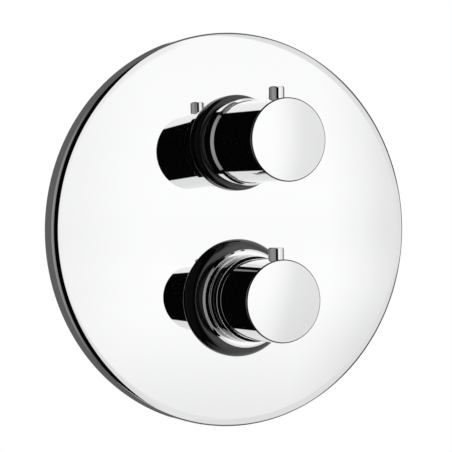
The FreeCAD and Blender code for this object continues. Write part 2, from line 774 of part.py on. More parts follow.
def spindle(prefix, profile, height, driver=()):
    """A turned spindle, squared at its front end where the carrier sits."""
    bar = turned(prefix + "_bar", profile, at=on_axis(height))
    half = "spindle_square / 2"
    square = block(
        name_of(prefix) + "Square", ("-%s" % half, half), ("carrier_back", "spindle_front"),
        ("%s - %s" % (height, half), "%s + %s" % (height, half)),
    )
    round_end = rod(
        name_of(prefix) + "RoundEnd", "2 * spindle_radius", "carrier_back", "spindle_front", height=height,
    )
    waste = cut(name_of(prefix) + "SquareWaste", round_end, [square])
    squared = cut(name_of(prefix) + "Squared", bar, [waste])
    keep(fused(name_of(prefix) + "Driving", [squared, *driver]) if driver else squared, prefix)


def spindle_front_end():
    """The corners of both spindles in front of the housing: the circlip's groove and the tip."""
    groove = "spindle_radius - circlip_groove"
    return [
        ("spindle_radius", "circlip_back"),
        (groove, "circlip_back"),
        (groove, "circlip_back + circlip_thickness"),
        ("spindle_radius", "circlip_back + circlip_thickness"),
        ("spindle_radius", "spindle_front"),
        ("0", "spindle_front"),
    ]


def circlip(label, height):
    """A spring ring in the spindle's groove, open at the bottom."""
    prefix = name_of(label)
    front = "circlip_back + circlip_thickness"
    ring = ring_of(prefix, "circlip_radius", "spindle_radius - circlip_groove", "circlip_back", front, height)
    slot = block(
        prefix + "Slot", ("-circlip_slot / 2", "circlip_slot / 2"), ("circlip_back", front),
        ("%s - 2 * circlip_radius" % height, height),
    )
    keep(cut(prefix + "Open", ring, [slot]), label)


# ---------------------------------------------------------------- thermostat cartridge
def notch(body, floor, middle, width):
    """The corners of a groove or recess round a turned outside, from back to front."""
    back, front = "%s - %s / 2" % (middle, width), "%s + %s / 2" % (middle, width)
    return [(body, back), (floor, back), (floor, front), (body, front)]


def thermostat_housing():
    """A brass tube with hot windows in front of its middle seal and cold windows behind it."""
    body, groove = "thermostat_body", "thermostat_groove"
    tube = turned("thermostat_housing", [
        ("thermostat_cavity - bottom_lip", "housing_bottom"),
        (body, "housing_bottom"),
        *notch(body, groove, "back_seal_depth", "seal_groove_width"),
        *notch(body, "screen_floor", "cold_duct_depth", "screen_width"),
        *notch(body, groove, "arm_depth", "seal_groove_width"),
        *notch(body, "screen_floor", "hot_duct_depth", "screen_width"),
        *notch(body, groove, "front_seal_depth", "seal_groove_width"),
        (body, "mouth_floor"),
        ("nut_thread_radius", "mouth_floor"),
        ("nut_thread_radius", "mouth_floor + flange_thickness"),
        ("neck_radius", "mouth_floor + flange_thickness"),
        ("neck_radius", "neck_front"),
        ("spindle_bore", "neck_front"),
        ("spindle_bore", "shoulder_depth"),
        ("thermostat_cavity", "shoulder_depth"),
        ("thermostat_cavity", "lip_front"),
        ("thermostat_cavity - bottom_lip", "lip_front"),
    ], at=on_axis("lower_axis"))
    windows = []
    for name, depth in (("Hot", "hot_duct_depth"), ("Cold", "cold_duct_depth")):
        windows.append(rod(
            name + "WindowsAcross", "window_radius", "-thermostat_bore", "thermostat_bore", "right",
            height="lower_axis", depth=depth,
        ))
        windows.append(rod(
            name + "WindowsUp", "window_radius", "lower_axis - thermostat_bore",
            "lower_axis + thermostat_bore", "up", depth=depth,
        ))
    key = block(
        "HousingKey", ("-key_width / 2", "key_width / 2"), ("spindle_thread_end", "shoulder_depth"),
        ("lower_axis + thermostat_cavity - key_height", "lower_axis + (thermostat_cavity + neck_radius) / 2"),
    )
    drilled = cut("ThermostatHousingDrilled", tube, windows)
    keep(fused("ThermostatHousingKeyed", [drilled, key]), "thermostat_housing")


def temperature_spindle():
    spindle("temperature_spindle", [
        ("0", "spindle_thread_end"),
        ("spindle_thread_radius", "spindle_thread_end"),
        ("spindle_thread_radius", "collar_back_face"),
        ("spindle_collar_radius", "collar_back_face"),
        ("spindle_collar_radius", "collar_front_face"),
        ("spindle_radius", "collar_front_face"),
        *spindle_front_end(),
    ], "lower_axis")


def temperature_adjuster():
    """The threaded nut that the spindle drives along the housing's key."""
    blank = ring_of(
        "Adjuster", "slider_radius", "spindle_thread_radius + running_gap", "adjuster_back", "adjuster_front",
        "lower_axis",
    )
    keyway = block(
        "AdjusterKeyway", ("-key_width / 2 - turning_gap", "key_width / 2 + turning_gap"),
        ("adjuster_back", "adjuster_front"),
        ("lower_axis + thermostat_cavity - key_height - turning_gap", "lower_axis + thermostat_cavity"),
    )
    keep(cut("AdjusterKeyed", blank, [keyway]), "temperature_adjuster")


def wax_element():
    keep(turned("wax_element", [
        ("0", "element_end"),
        ("element_radius", "element_end"),
        ("element_radius", "shuttle_front"),
        ("element_flange_radius", "shuttle_front"),
        ("element_flange_radius", "element_flange_front"),
        ("element_piston_radius", "element_flange_front"),
        ("element_piston_radius", "element_flange_front + element_piston_rise"),
        ("0", "element_flange_front + element_piston_rise"),
    ], at=on_axis("lower_axis")), "wax_element")


def mixing_shuttle():
    """The ring that opens the cold windows as it closes the hot ones."""
    ring = ring_of("MixingShuttle", "slider_radius", "shuttle_bore", "shuttle_back", "shuttle_front",
        "lower_axis")
    keep(ring, "mixing_shuttle")


def thermostat_springs():
    spring(
        "overload_spring", "overload_spring_radius", "overload_wire_radius", "element_flange_front",
        "adjuster_back", 3, "front", on_axis("lower_axis"),
    )
    spring(
        "return_spring", "return_spring_radius", "return_wire_radius", "lip_front", "shuttle_back",
        4, "front", on_axis("lower_axis"),
    )


def group(name, pieces, label):
    """Separate alike solids that share one node."""
    compound = doc.addObject("Part::Compound", name)
    compound.Links = pieces
    keep(compound, label)


def thermostat_screens():
    screens = [
        ring_of(
            name + "Screen", "screen_floor + screen_wall", "screen_floor", "%s - screen_width / 2" % depth,
            "%s + screen_width / 2" % depth, "lower_axis",
        )
        for name, depth in (("Hot", "hot_duct_depth"), ("Cold", "cold_duct_depth"))
    ]
    group("ThermostatScreens", screens, "thermostat_screens")


def cartridge_seals():
    group("ThermostatSeals", [
        seal("ThermostatSeal%d" % number, "thermostat_groove", depth, "lower_axis")
        for number, depth in enumerate(("front_seal_depth", "arm_depth", "back_seal_depth"), start=1)
    ], "thermostat_o_rings")
    group("SelectorSeals", [
        seal("SelectorSeal%d" % number, "selector_groove", depth, "upper_axis")
        for number, depth in enumerate(("selector_front_seal_depth", "selector_back_seal_depth"), start=1)
    ], "selector_o_rings")


# ---------------------------------------------------------------- shut-off and outlet selector cartridge
OUTLET_ANGLES = {"Supply": 270, "Side": 30, "Top": 150}


def port_spot(angle):
    """Where a port's centre lies, (across, height), at this angle from the right on the upper axis."""
    across = "port_circle * cos(%d deg)" % angle
    return across, "upper_axis + port_circle * sin(%d deg)" % angle


def port_holes(prefix, back, front):
    holes = []
    for name, angle in OUTLET_ANGLES.items():
        across, height = port_spot(angle)
        holes.append(rod(prefix + name + "Port", "port_radius", back, front, across=across, height=height))
    return holes


def selector_housing():
    body, groove = "selector_body", "selector_groove"
    keep(turned("selector_housing", [
        ("selector_cavity", "selector_floor"),
        (body, "selector_floor"),
        *notch(body, groove, "selector_back_seal_depth", "seal_groove_width"),
        *notch(body, groove, "selector_front_seal_depth", "seal_groove_width"),
        (body, "mouth_floor"),
        ("nut_thread_radius", "mouth_floor"),
        ("nut_thread_radius", "mouth_floor + flange_thickness"),
        ("neck_radius", "mouth_floor + flange_thickness"),
        ("neck_radius", "neck_front"),
        ("spindle_bore", "neck_front"),
        ("spindle_bore", "cavity_front"),
        ("selector_cavity", "cavity_front"),
    ], at=on_axis("upper_axis")), "selector_housing")


def selector_spindle():
    spindle("selector_spindle", [
        ("0", "moving_disc_front"),
        ("driver_radius", "moving_disc_front"),
        ("driver_radius", "driver_front"),
        ("spindle_radius", "driver_front"),
        *spindle_front_end(),
    ], "upper_axis", [tongue("SpindleTongue")])


def tongue(name):
    """The bar across the driver's back that turns the moving disc."""
    return block(
        name, ("-tongue_length / 2", "tongue_length / 2"),
        ("moving_disc_front - tongue_height", "moving_disc_front + tongue_height"),
        ("upper_axis - tongue_width / 2", "upper_axis + tongue_width / 2"),
    )


def moving_disc():
    """The ceramic disc whose blind channel joins the supply port to one outlet or to none."""
    blank = rod("MovingDiscBlank", "moving_disc_radius", "fixed_disc_front", "moving_disc_front",
        height="upper_axis")
    front = "fixed_disc_front + channel_depth"
    sector = rod("ChannelSector", "channel_outer", "fixed_disc_front", front, height="upper_axis",
        angle="channel_angle")
    turn = FreeCAD.Rotation(Z_AXIS, OUTLET_ANGLES["Supply"] - value("channel_angle") / 2)
    sector.Placement = FreeCAD.Placement(sector.Placement.Base, FACING["front"].multiply(turn))
    core = rod("ChannelCore", "channel_inner", "fixed_disc_front", front, height="upper_axis")
    channel = cut("Channel", sector, [core])
    keep(cut("MovingDiscCut", blank, [channel, tongue("DiscSlot")]), "moving_ceramic_disc")


def fixed_disc():
    blank = rod("FixedDiscBlank", "selector_cavity", "fixed_disc_back", "fixed_disc_front",
        height="upper_axis")
    holes = port_holes("FixedDisc", "fixed_disc_back", "fixed_disc_front")
    keep(cut("FixedDiscDrilled", blank, holes), "fixed_ceramic_disc")


def base_seal():
    blank = rod("BaseSealBlank", "selector_cavity", "selector_floor", "fixed_disc_back", height="upper_axis")
    holes = port_holes("BaseSeal", "selector_floor", "fixed_disc_back")
    keep(cut("BaseSealPierced", blank, holes), "selector_base_seal")


# ---------------------------------------------------------------- quarter-turn service stops
def service_stop(side, sign):
    """A screwdriver-turned plug across the inlet arm, with its rubber ring and the gland that keeps it in."""
    across = "%sstop_offset" % sign
    spot = on_axis("lower_axis", across)
    plug = turned(side + "_stop_plug", [
        ("0", "stop_plug_back"),
        ("stop_plug_radius", "stop_plug_back"),
        *notch("stop_plug_radius", "stop_groove", "stop_seal_depth", "seal_groove_width"),
        ("stop_plug_radius", "stop_plug_front"),
        ("stop_neck_radius", "stop_plug_front"),
        ("stop_neck_radius", "stop_neck_front"),
        ("0", "stop_neck_front"),
    ], at=spot)
    prefix = name_of(side)
    port = rod(
        prefix + "StopPort", "stop_port_radius", "%s - 2 * stop_bore" % across, "%s + 2 * stop_bore" % across,
        "right", height="lower_axis", depth="arm_depth",
    )
    slot = block(
        prefix + "StopSlot", ("%s - 2 * stop_neck_radius" % across, "%s + 2 * stop_neck_radius" % across),
        ("stop_neck_front - stop_slot_depth", "stop_neck_front"),
        ("lower_axis - stop_slot_width / 2", "lower_axis + stop_slot_width / 2"),
    )
    keep(cut(prefix + "StopDrilled", plug, [port, slot]), side + "_service_stop")

    ring = seal(prefix + "StopSeal", "stop_groove", "stop_seal_depth", "lower_axis", across)
    keep(ring, side + "_stop_o_ring")

    keep(turned(side + "_stop_gland", [
        ("gland_hole", "gland_back"),
        ("stop_bore", "gland_back"),
        ("stop_bore", "stop_boss_front"),
        ("gland_flange_radius", "stop_boss_front"),
        ("gland_flange_radius", "stop_boss_front + gland_flange_thickness"),
        ("gland_hole", "stop_boss_front + gland_flange_thickness"),
    ], at=spot), side + "_stop_gland")


# ---------------------------------------------------------------- non-return valves and strainers
def check_valve(side, facing):
    """In the inlet arm from the inside out: spider, spring, poppet, seat, then the strainer cup."""
    spot = ("0", "-arm_depth", "lower_axis")
    prefix = name_of(side)
    tube = turned(side + "_check_tube", [
        ("0", "check_inner_end"),
        ("arm_bore", "check_inner_end"),
        ("arm_bore", "check_outer_end"),
        ("check_seat_bore", "check_outer_end"),
        ("check_seat_bore", "seat_face"),
        ("check_bore", "seat_face"),
        ("check_bore", "spider_face"),
        ("0", "spider_face"),
    ], facing, spot)
    along = {"depth": "arm_depth"}
    holes = [rod(
        prefix + "StemHole", "check_stem_radius + turning_gap", "check_inner_end", "spider_face", facing,
        height="lower_axis", **along,
    )]
    for number, angle in enumerate(range(45, 405, 90), start=1):
        reach = "(check_bore - check_spider_hole - turning_gap)"
        holes.append(rod(
            prefix + "SpiderHole%d" % number, "check_spider_hole", "check_inner_end", "spider_face", facing,
            height="lower_axis + %s * sin(%d deg)" % (reach, angle),
            depth="arm_depth + %s * cos(%d deg)" % (reach, angle),
        ))
    keep(cut(prefix + "CheckBodyDrilled", tube, holes), side + "_check_body")

    keep(turned(side + "_check_poppet", [
        ("0", "check_stem_end"),
        ("check_stem_radius", "check_stem_end"),
        ("check_stem_radius", "poppet_inner"),
        ("poppet_radius", "poppet_inner"),
        ("poppet_radius", "poppet_outer"),
        ("0", "poppet_outer"),
    ], facing, spot), side + "_check_poppet")

    spring(
        side + "_check_spring", "check_spring_radius", "check_wire_radius", "spider_face", "poppet_inner",
        3, facing, spot,
    )
    strainer(side, facing, spot)


def strainer(side, facing, spot):
    """A thin cup with a rim against the step of the arm's bore, pierced all round and in its bottom."""
    prefix = name_of(side)
    rim_back = "thread_floor_arm - strainer_wall"
    inner = "strainer_cup_radius - strainer_wall"
    cup = turned(side + "_strainer_cup", [
        ("0", "check_outer_end"),
        ("strainer_cup_radius", "check_outer_end"),
        ("strainer_cup_radius", rim_back),
        ("arm_bore", rim_back),
        ("arm_bore", "thread_floor_arm"),
        (inner, "thread_floor_arm"),
        (inner, "check_outer_end + strainer_wall"),
        ("0", "check_outer_end + strainer_wall"),
    ], facing, spot)
    middle = "(check_outer_end + thread_floor_arm) / 2"
    holes = []
    for number, angle in enumerate(range(0, 360, 45), start=1):
        reach = "(strainer_cup_radius / 2)"
        holes.append(rod(
            prefix + "StrainerHole%d" % number, "strainer_hole", "check_outer_end",
            "check_outer_end + strainer_wall", facing,
            height="lower_axis + %s * sin(%d deg)" % (reach, angle),
            depth="arm_depth + %s * cos(%d deg)" % (reach, angle),
        ))
    holes.append(rod(
        prefix + "StrainerUpright", "strainer_hole", "lower_axis - 2 * arm_bore", "lower_axis + 2 * arm_bore",
        "up", depth="arm_depth", across=middle if facing == "right" else "-%s" % middle,
    ))
    keep(cut(prefix + "StrainerPierced", cup, holes), side + "_inlet_strainer")


# ---------------------------------------------------------------- valve body and its bracket
def valve_body():
    """The brass casting: two chambers, a web, two inlet arms, two outlets and a boss for each stop."""
    solid = fused("ValveBodySolid", [
        rod("LowerChamber", "chamber_radius", "body_back", "body_front", height="lower_axis"),
        rod("UpperChamber", "chamber_radius", "body_back", "body_front", height="upper_axis"),
        block("Web", ("-web_half_width", "web_half_width"), ("body_back", "arm_depth"), ("lower_axis",
            "upper_axis")),
        rod("InletArms", "arm_radius", "-arm_reach", "arm_reach", "right", height="lower_axis",
            depth="arm_depth"),
        rod("TopOutletArm", "arm_radius", "upper_axis", "top_outlet_height", "up", depth="outlet_depth"),
        rod("SideOutletArm", "arm_radius", "0", "side_outlet_reach", "right", height="upper_axis",
            depth="outlet_depth"),
        *[
            rod(
                name + "StopBoss", "stop_boss_radius", "stop_plug_back - chamber_wall", "stop_boss_front",
                across=across, height="lower_axis",
            )
            for name, across in (("Hot", "-stop_offset"), ("Cold", "stop_offset"))
        ],
    ])
    keep(cut("ValveBodyBored", solid,
        chamber_bores() + inlet_bores() + outlet_bores() + fixing_bores()), "valve_body")


def chamber_bores():
    return [
        rod("LowerMouth", "nut_thread_radius", "mouth_floor", "body_front", height="lower_axis"),
        rod("LowerBore", "thermostat_bore", "thermostat_floor", "body_front", height="lower_axis"),
        rod("UpperMouth", "nut_thread_radius", "mouth_floor", "body_front", height="upper_axis"),
        rod("UpperBore", "selector_bore", "selector_floor", "body_front", height="upper_axis"),
    ]


def inlet_bores():
    bores = []
    for name, facing, across, duct in (
        ("Hot", "left", "-stop_offset", "hot_duct_depth"),
        ("Cold", "right", "stop_offset", "cold_duct_depth"),
    ):
        arm = {"facing": facing, "height": "lower_axis", "depth": "arm_depth"}
        bores.append(rod(name + "Thread", "thread_radius", "thread_floor_arm", "arm_reach", **arm))
        bores.append(rod(name + "ArmBore", "arm_bore", "stop_offset", "thread_floor_arm", **arm))
        bores.append(rod(
            name + "Duct", "duct_radius", "0", "stop_offset", facing, height="lower_axis", depth=duct,
        ))
        bores.append(rod(
            name + "StopBore", "stop_bore", "stop_plug_back - turning_gap", "stop_boss_front",
            across=across, height="lower_axis",
        ))
    return bores


def outlet_bores():
    top_across, top_height = port_spot(OUTLET_ANGLES["Top"])
    side_across, side_height = port_spot(OUTLET_ANGLES["Side"])
    supply_height = port_spot(OUTLET_ANGLES["Supply"])[1]
    return port_holes("Body", "outlet_duct_depth", "selector_floor") + [
        rod("SupplyDrop", "port_radius", "mixed_duct_depth", "selector_floor", height=supply_height),
        rod("MixedDuct", "mixed_duct_radius", "lower_axis", supply_height, "up", depth="mixed_duct_depth"),
        rod(
            "TopDuct", "port_radius", top_height, "thread_floor_top", "up", across=top_across,
            depth="outlet_duct_depth",
        ),
        rod("TopThread", "thread_radius", "thread_floor_top", "top_outlet_height", "up",
            depth="outlet_depth"),
        rod(
            "SideDuct", "port_radius", side_across, "thread_floor_side", "right", height=side_height,
            depth="outlet_duct_depth",
        ),
        rod(
            "SideThread", "thread_radius", "thread_floor_side", "side_outlet_reach", "right",
            height="upper_axis", depth="outlet_depth",
        ),
    ]


def screw_spots():
    """The four places (across, height) of the screws that hold the body on its bracket."""
    return [
        ("%sscrew_spacing / 2" % left, "bracket_centre %s screw_row_spacing / 2" % row)
        for left in ("-", "") for row in ("-", "+")
    ]


def fixing_bores():
    return [
        rod(
            "BodyScrewHole%d" % number, "screw_radius", "body_back", "bracket_back + screw_length",
            across=across, height=height,
        )
        for number, (across, height) in enumerate(screw_spots(), start=1)
    ]


def mounting_bracket():
    """A flat steel plate with rounded corners, four wall holes and four screw holes."""
    low, high = "bracket_centre - bracket_height / 2", "bracket_centre + bracket_height / 2"
    depth = ("bracket_back", "body_back")
    inner = "bracket_half_width - bracket_corner"
    corners = [
        rod("BracketCorner%s%s" % (name, end), "bracket_corner", *depth, across=across, height=height)
        for name, across in (("Left", "-(%s)" % inner), ("Right", inner))
        for end, height in (("Low", "%s + bracket_corner" % low), ("High", "%s - bracket_corner" % high))
    ]
    sheet = fused("BracketSheet", [
        block("BracketWide", ("-bracket_half_width", "bracket_half_width"), depth,
              ("%s + bracket_corner" % low, "%s - bracket_corner" % high)),
        block("BracketTall", ("-(%s)" % inner, inner), depth, (low, high)),
        *corners,
    ])
    holes = [
        rod("WallHole%s%s" % (name, end), "bracket_hole_radius", *depth,
            across=across + " bracket_hole_spacing / 2",
            height="bracket_centre %s bracket_hole_spacing / 2" % row)
        for name, across in (("Left", "-"), ("Right", "+"))
        for end, row in (("Low", "-"), ("High", "+"))
    ]
    for number, (across, height) in enumerate(screw_spots(), start=1):
        holes.append(rod("BracketScrewHole%d" % number, "screw_radius + screw_hole_gap", *depth,
                         across=across, height=height))
    keep(cut("BracketDrilled", sheet, holes), "mounting_bracket")


def bracket_screws():
    screws = []
    for number, (across, height) in enumerate(screw_spots(), start=1):
        head_back = "bracket_back - screw_head_height"
        blank = fused("Screw%d" % number, [
            rod("ScrewHead%d" % number, "screw_head_radius", head_back, "bracket_back", across=across,
                height=height),
            rod("ScrewShank%d" % number, "screw_radius", "bracket_back", "bracket_back + screw_length",
                across=across, height=height),
        ])
        socket = hexagon("ScrewSocket%d" % number, "screw_socket", head_back,
            "bracket_back - screw_head_height / 3",
                         height, across)
        screws.append(cut("ScrewCut%d" % number, blank, [socket]))
    group("BracketScrews", screws, "bracket_screws")


# ---------------------------------------------------------------- the whole valve
wall_plate()
plate_gasket()
seal_ring("upper_seal_ring", "upper_ring_radius", "upper_sleeve_radius", "upper_ring_front",
    "upper_ring_round", "upper_axis")
seal_ring("lower_seal_ring", "lower_ring_radius", "lower_sleeve_radius", "lower_ring_front",
    "lower_ring_round", "lower_axis")
upper_sleeve()
lower_sleeve()
lower_collar()
lower_front_ring()
handle("upper", "upper_handle_front", "upper_pin_depth", "upper_axis")
handle("lower", "lower_handle_front", "lower_pin_depth", "lower_axis")
retaining_nut("thermostat_retaining_nut", "lower_axis")
retaining_nut("selector_retaining_nut", "upper_axis")
temperature_stop_ring()
thermostat_housing()
temperature_spindle()
circlip("temperature_circlip", "lower_axis")
temperature_adjuster()
wax_element()
mixing_shuttle()
thermostat_springs()
thermostat_screens()
cartridge_seals()
selector_housing()
selector_spindle()
circlip("selector_circlip", "upper_axis")
moving_disc()
fixed_disc()
base_seal()
service_stop("hot", "-")
service_stop("cold", "")
check_valve("hot", "left")
check_valve("cold", "right")
valve_body()
mounting_bracket()
bracket_screws()

doc.recompute()
for item in doc.Objects:
    if "Invalid" in item.State or "Error" in item.State:
        raise RuntimeError("%s did not compute: %s" % (item.Name, item.State))
for node in nodes:
    if node.Shape.isNull() or not node.Shape.isValid():
        raise RuntimeError("%s has no valid shape" % node.Label)

os.makedirs("parts", exist_ok=True)
for node in nodes:
    node.Shape.exportStep("parts/%s.step" % node.Label)
    print("%-28s %2d solids %10.1f mm3" % (node.Label, len(node.Shape.Solids), node.Shape.Volume))
print(len(nodes), "nodes")
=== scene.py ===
import json
import math

import bpy
from mathutils import Matrix, Vector

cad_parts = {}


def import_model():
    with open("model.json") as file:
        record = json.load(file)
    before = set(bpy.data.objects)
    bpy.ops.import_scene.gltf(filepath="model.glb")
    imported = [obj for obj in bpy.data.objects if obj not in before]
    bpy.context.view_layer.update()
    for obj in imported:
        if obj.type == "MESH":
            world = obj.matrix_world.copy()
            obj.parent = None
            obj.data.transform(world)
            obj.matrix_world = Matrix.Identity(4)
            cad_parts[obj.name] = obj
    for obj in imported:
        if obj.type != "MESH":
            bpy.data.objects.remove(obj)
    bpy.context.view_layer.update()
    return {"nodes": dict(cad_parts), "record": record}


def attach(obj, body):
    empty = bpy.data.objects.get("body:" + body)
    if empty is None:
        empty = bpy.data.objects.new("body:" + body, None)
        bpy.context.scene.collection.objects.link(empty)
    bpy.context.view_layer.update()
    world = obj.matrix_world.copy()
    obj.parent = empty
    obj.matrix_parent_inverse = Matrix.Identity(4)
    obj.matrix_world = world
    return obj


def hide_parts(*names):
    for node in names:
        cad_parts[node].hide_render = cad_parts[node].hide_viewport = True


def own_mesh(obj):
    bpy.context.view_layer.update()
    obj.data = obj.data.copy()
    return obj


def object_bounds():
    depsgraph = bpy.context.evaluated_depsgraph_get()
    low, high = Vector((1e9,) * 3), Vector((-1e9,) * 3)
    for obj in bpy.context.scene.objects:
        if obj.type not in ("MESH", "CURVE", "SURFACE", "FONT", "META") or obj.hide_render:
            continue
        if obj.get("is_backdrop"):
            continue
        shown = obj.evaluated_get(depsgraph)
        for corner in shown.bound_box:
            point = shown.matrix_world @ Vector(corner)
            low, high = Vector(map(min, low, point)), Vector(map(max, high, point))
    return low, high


bl_info = {
    "name": "Thermostatic Shower Valve",
    "version": (1, 0, 0),
    "blender": (4, 2, 0),
    "location": "3D View > Sidebar > Shower Valve",
    "description": "Builds and dresses a concealed thermostatic shower valve and its studio",
    "category": "Add Mesh",
}


# ---------------------------------------------------------------- sizes and colours
def length(name, default, description):
    return bpy.props.FloatProperty(
        name=name, default=default, description=description, unit="LENGTH", subtype="DISTANCE", precision=5
    )


def colour(name, default, description):
    return bpy.props.FloatVectorProperty(
        name=name, default=default, description=description, subtype="COLOR", size=3, min=0.0, max=1.0
    )


class ValveSizes(bpy.types.PropertyGroup):
    """Sizes and colours of the shower valve. Depths are distances from the wall toward the user."""

    upper_axis: length("Upper axis", 0.0484, "Height of the outlet handle's axis above the middle")
    lower_axis: length("Lower axis", -0.038, "Height of the temperature handle's axis above the middle")
    plate_radius: length("Plate radius", 0.110, "Radius of the round wall plate")
    plate_edge_depth: length("Plate edge", 0.0105, "Depth of the plate's edge before it is rounded")
    plate_dome: length("Plate dome", 0.0022, "How far the plate's middle stands out past its edge")
    plate_roll: length("Plate roll-off", 0.0084, "Radius of the wide bend where the face rolls off")
    plate_roll_angle: bpy.props.FloatProperty(
        name="Roll-off angle",
        default=math.radians(26),
        subtype="ANGLE",
        description="How far the wide bend turns before the tight rounding takes over",
    )
    plate_round: length("Plate edge round", 0.0022, "Radius of the tight rounding round the plate's edge")
    plate_wall: length("Plate wall", 0.0015, "Thickness of the pressed sheet")
    handle_radius: length("Handle radius", 0.0225, "Outer radius of both handles")
    handle_back: length("Handle back", 0.022, "Depth of the handles' back rims")
    handle_wall: length("Handle wall", 0.003, "Thickness of the handles' side walls")
    handle_cap: length("Handle cap", 0.004, "Thickness of the handles' front walls")
    handle_round: length("Handle edge round", 0.0008, "Radius of the rounding round a handle's face")
    upper_front: length("Upper handle front", 0.075, "Depth of the outlet handle's face")
    lower_front: length("Lower handle front", 0.0675, "Depth of the temperature handle's face")
    pin_radius: length("Pin radius", 0.00425, "Radius of the lever pins")
    pin_rise: length("Pin rise", 0.0063, "How far the pins stand above the handles")
    face_dome: length("Handle face dome", 0.0003, "How far the middle of a handle's face stands out")
    upper_pin: length("Upper pin setback", 0.0137, "From the upper handle's face back to its pin's axis")
    lower_pin: length("Lower pin setback", 0.0087, "From the lower handle's face back to its pin's axis")
    grub_depth: length("Grub screw depth", 0.039, "Depth of the grub screws below the handles")
    sleeve_bore: length("Sleeve bore", 0.0228, "Bore that a handle turns in")
    upper_sleeve: length("Upper sleeve radius", 0.024, "Outer radius of the upper sleeve")
    lower_sleeve: length("Lower sleeve radius", 0.0238, "Outer radius of the lower sleeve")
    collar_radius: length("Collar radius", 0.0272, "Outer radius of the lower collar")
    upper_ring: length("Upper ring radius", 0.0267, "Outer radius of the upper rubber ring")
    lower_ring: length("Lower ring radius", 0.0328, "Outer radius of the lower rubber ring")
    chrome: colour("Chrome", (0.982, 0.984, 0.986), "Colour of the chrome plating")
    rubber: colour("Rubber", (0.0012, 0.0012, 0.0013), "Colour of the black rubber rings")


SEGMENTS = 256
SLOTS = {}

# depths of the trim from the wall and radii inside it, in metres
SLEEVE_BACK = 0.003
SLEEVE_ROOT = 0.019
SLEEVE_STEP = 0.016
UPPER_SLEEVE_FRONT = 0.031
LOWER_SLEEVE_FRONT = 0.0266
FRONT_RING_FRONT = 0.0342
COLLAR_BACK = 0.0179375
COLLAR_LENGTH = 0.007
HOLE_GAP = 0.0003
GRUB_RADIUS = 0.0025

# spacing of the ring places over the plate's and a handle's face, and the black rings' heights
PLATE_STEP = 0.0022
FACE_STEP = 0.0012
UPPER_RING_HEIGHT = 0.005
LOWER_RING_HEIGHT = 0.0055

# roughness of the plating
GLOSS = 0.016

# the camera: its turn about the valve in degrees, its distance in metres and its picture in pixels
CAMERA_ANGLES = (-26.6588, 0.7539, -0.6525)
CAMERA_DISTANCE = 1.1892
FOCAL_PIXELS = 2129.26
PICTURE_PIXELS = 452
OFF_CENTRE = (9.307, 3.582)
AIM = (0, -0.0105, 0)
FILM_WIDTH = 36

# the soft lamp
LAMP_PLACE = (0.9, -1.2, 1.6)
LAMP_WIDTH = 1.2
LAMP_POWER = 12

# the room that the chrome mirrors: (slanted heading in degrees, level), (rise in degrees, level)
PANEL = [
    (-20, 0.86), (-4, 0.86), (17, 0.89), (19, 0.925), (21, 0.97), (23, 1.0), (32.3, 1.0),
    (33.3, 0.955), (34.1, 0.91), (34.9, 0.85), (35.7, 0.80), (38, 0.775), (160, 0.775),
]
SKY = [
    (-90, 0.8), (-14, 0.79), (-10, 0.845), (-7, 0.94), (-3, 0.99), (2, 1.0),
    (5, 0.985), (9, 0.97), (90, 0.96),
]
GREY_SIDE = [(-1.0, 0.27), (-0.95, 0.27), (-0.6, 0.21), (-0.45, 0.19)]
BLACK_STRIP = 0.001
DARK_REAR = 0.11
LEAST_BRIGHT = 0.745
PLAIN_LIGHT = 0.8

# how far the plate's mirror direction rises along its height, and what its dent by the lower hole adds
PLATE_LEAN = [
    (-0.11, 0.046), (-0.068, 0.046), (-0.038, 0.0705), (-0.022, 0.0915),
    (-0.014, 0.11), (0.0, 0.11), (0.022, 0.066), (0.11, 0.066),
]
PLATE_LEVEL = 0.05
PLATE_DENT = [(-0.0213, 0.0), (-0.018, 0.042), (-0.01, 0.03), (0.008, 0.0)]


# ---------------------------------------------------------------- modelling helpers
def start_fresh():
    """Leaves edit mode and selects nothing, so that the next tool works on the new piece alone."""
    if bpy.context.object and bpy.context.object.mode != "OBJECT":
        bpy.ops.object.mode_set(mode="OBJECT")
    bpy.ops.object.select_all(action="DESELECT")


def rounded(corners, steps=8):
    """Ring places (radius, depth) along an outline whose corners are (radius, depth, rounding)."""
    places = []
    count = len(corners)
    for index, (radius, depth, rounding) in enumerate(corners):
        here = Vector((radius, depth))
        before = Vector(corners[index - 1][:2]) - here
        after = Vector(corners[(index + 1) % count][:2]) - here
        if not rounding:
            places.append(here)
            continue
        a, b = before.normalized(), after.normalized()
        half = a.angle(b) / 2
        reach = rounding / math.tan(half)
        middle = here + (a + b).normalized() * (rounding / math.sin(half))
        first, last = here + a * reach, here + b * reach
        support = min(0.0002, (before.length - reach) / 3)
        if support > 1e-6:
            places.append(first + a * support)
        start, sweep = first - middle, (first - middle).angle_signed(last - middle)
        for step in range(steps + 1):
            turn = -sweep * step / steps
            places.append(middle + Matrix.Rotation(turn, 2) @ start)
        support = min(0.0002, (after.length - reach) / 3)
        if support > 1e-6:
            places.append(last + b * support)
    return [(max(p.x, 0.0), p.y) for p in places]


AXES = {
    "front": (Vector((0, -1, 0)), (math.pi / 2, 0, 0)),
    "up": (Vector((0, 0, 1)), (0, 0, 0)),
    "right": (Vector((1, 0, 0)), (0, math.pi / 2, 0)),
}


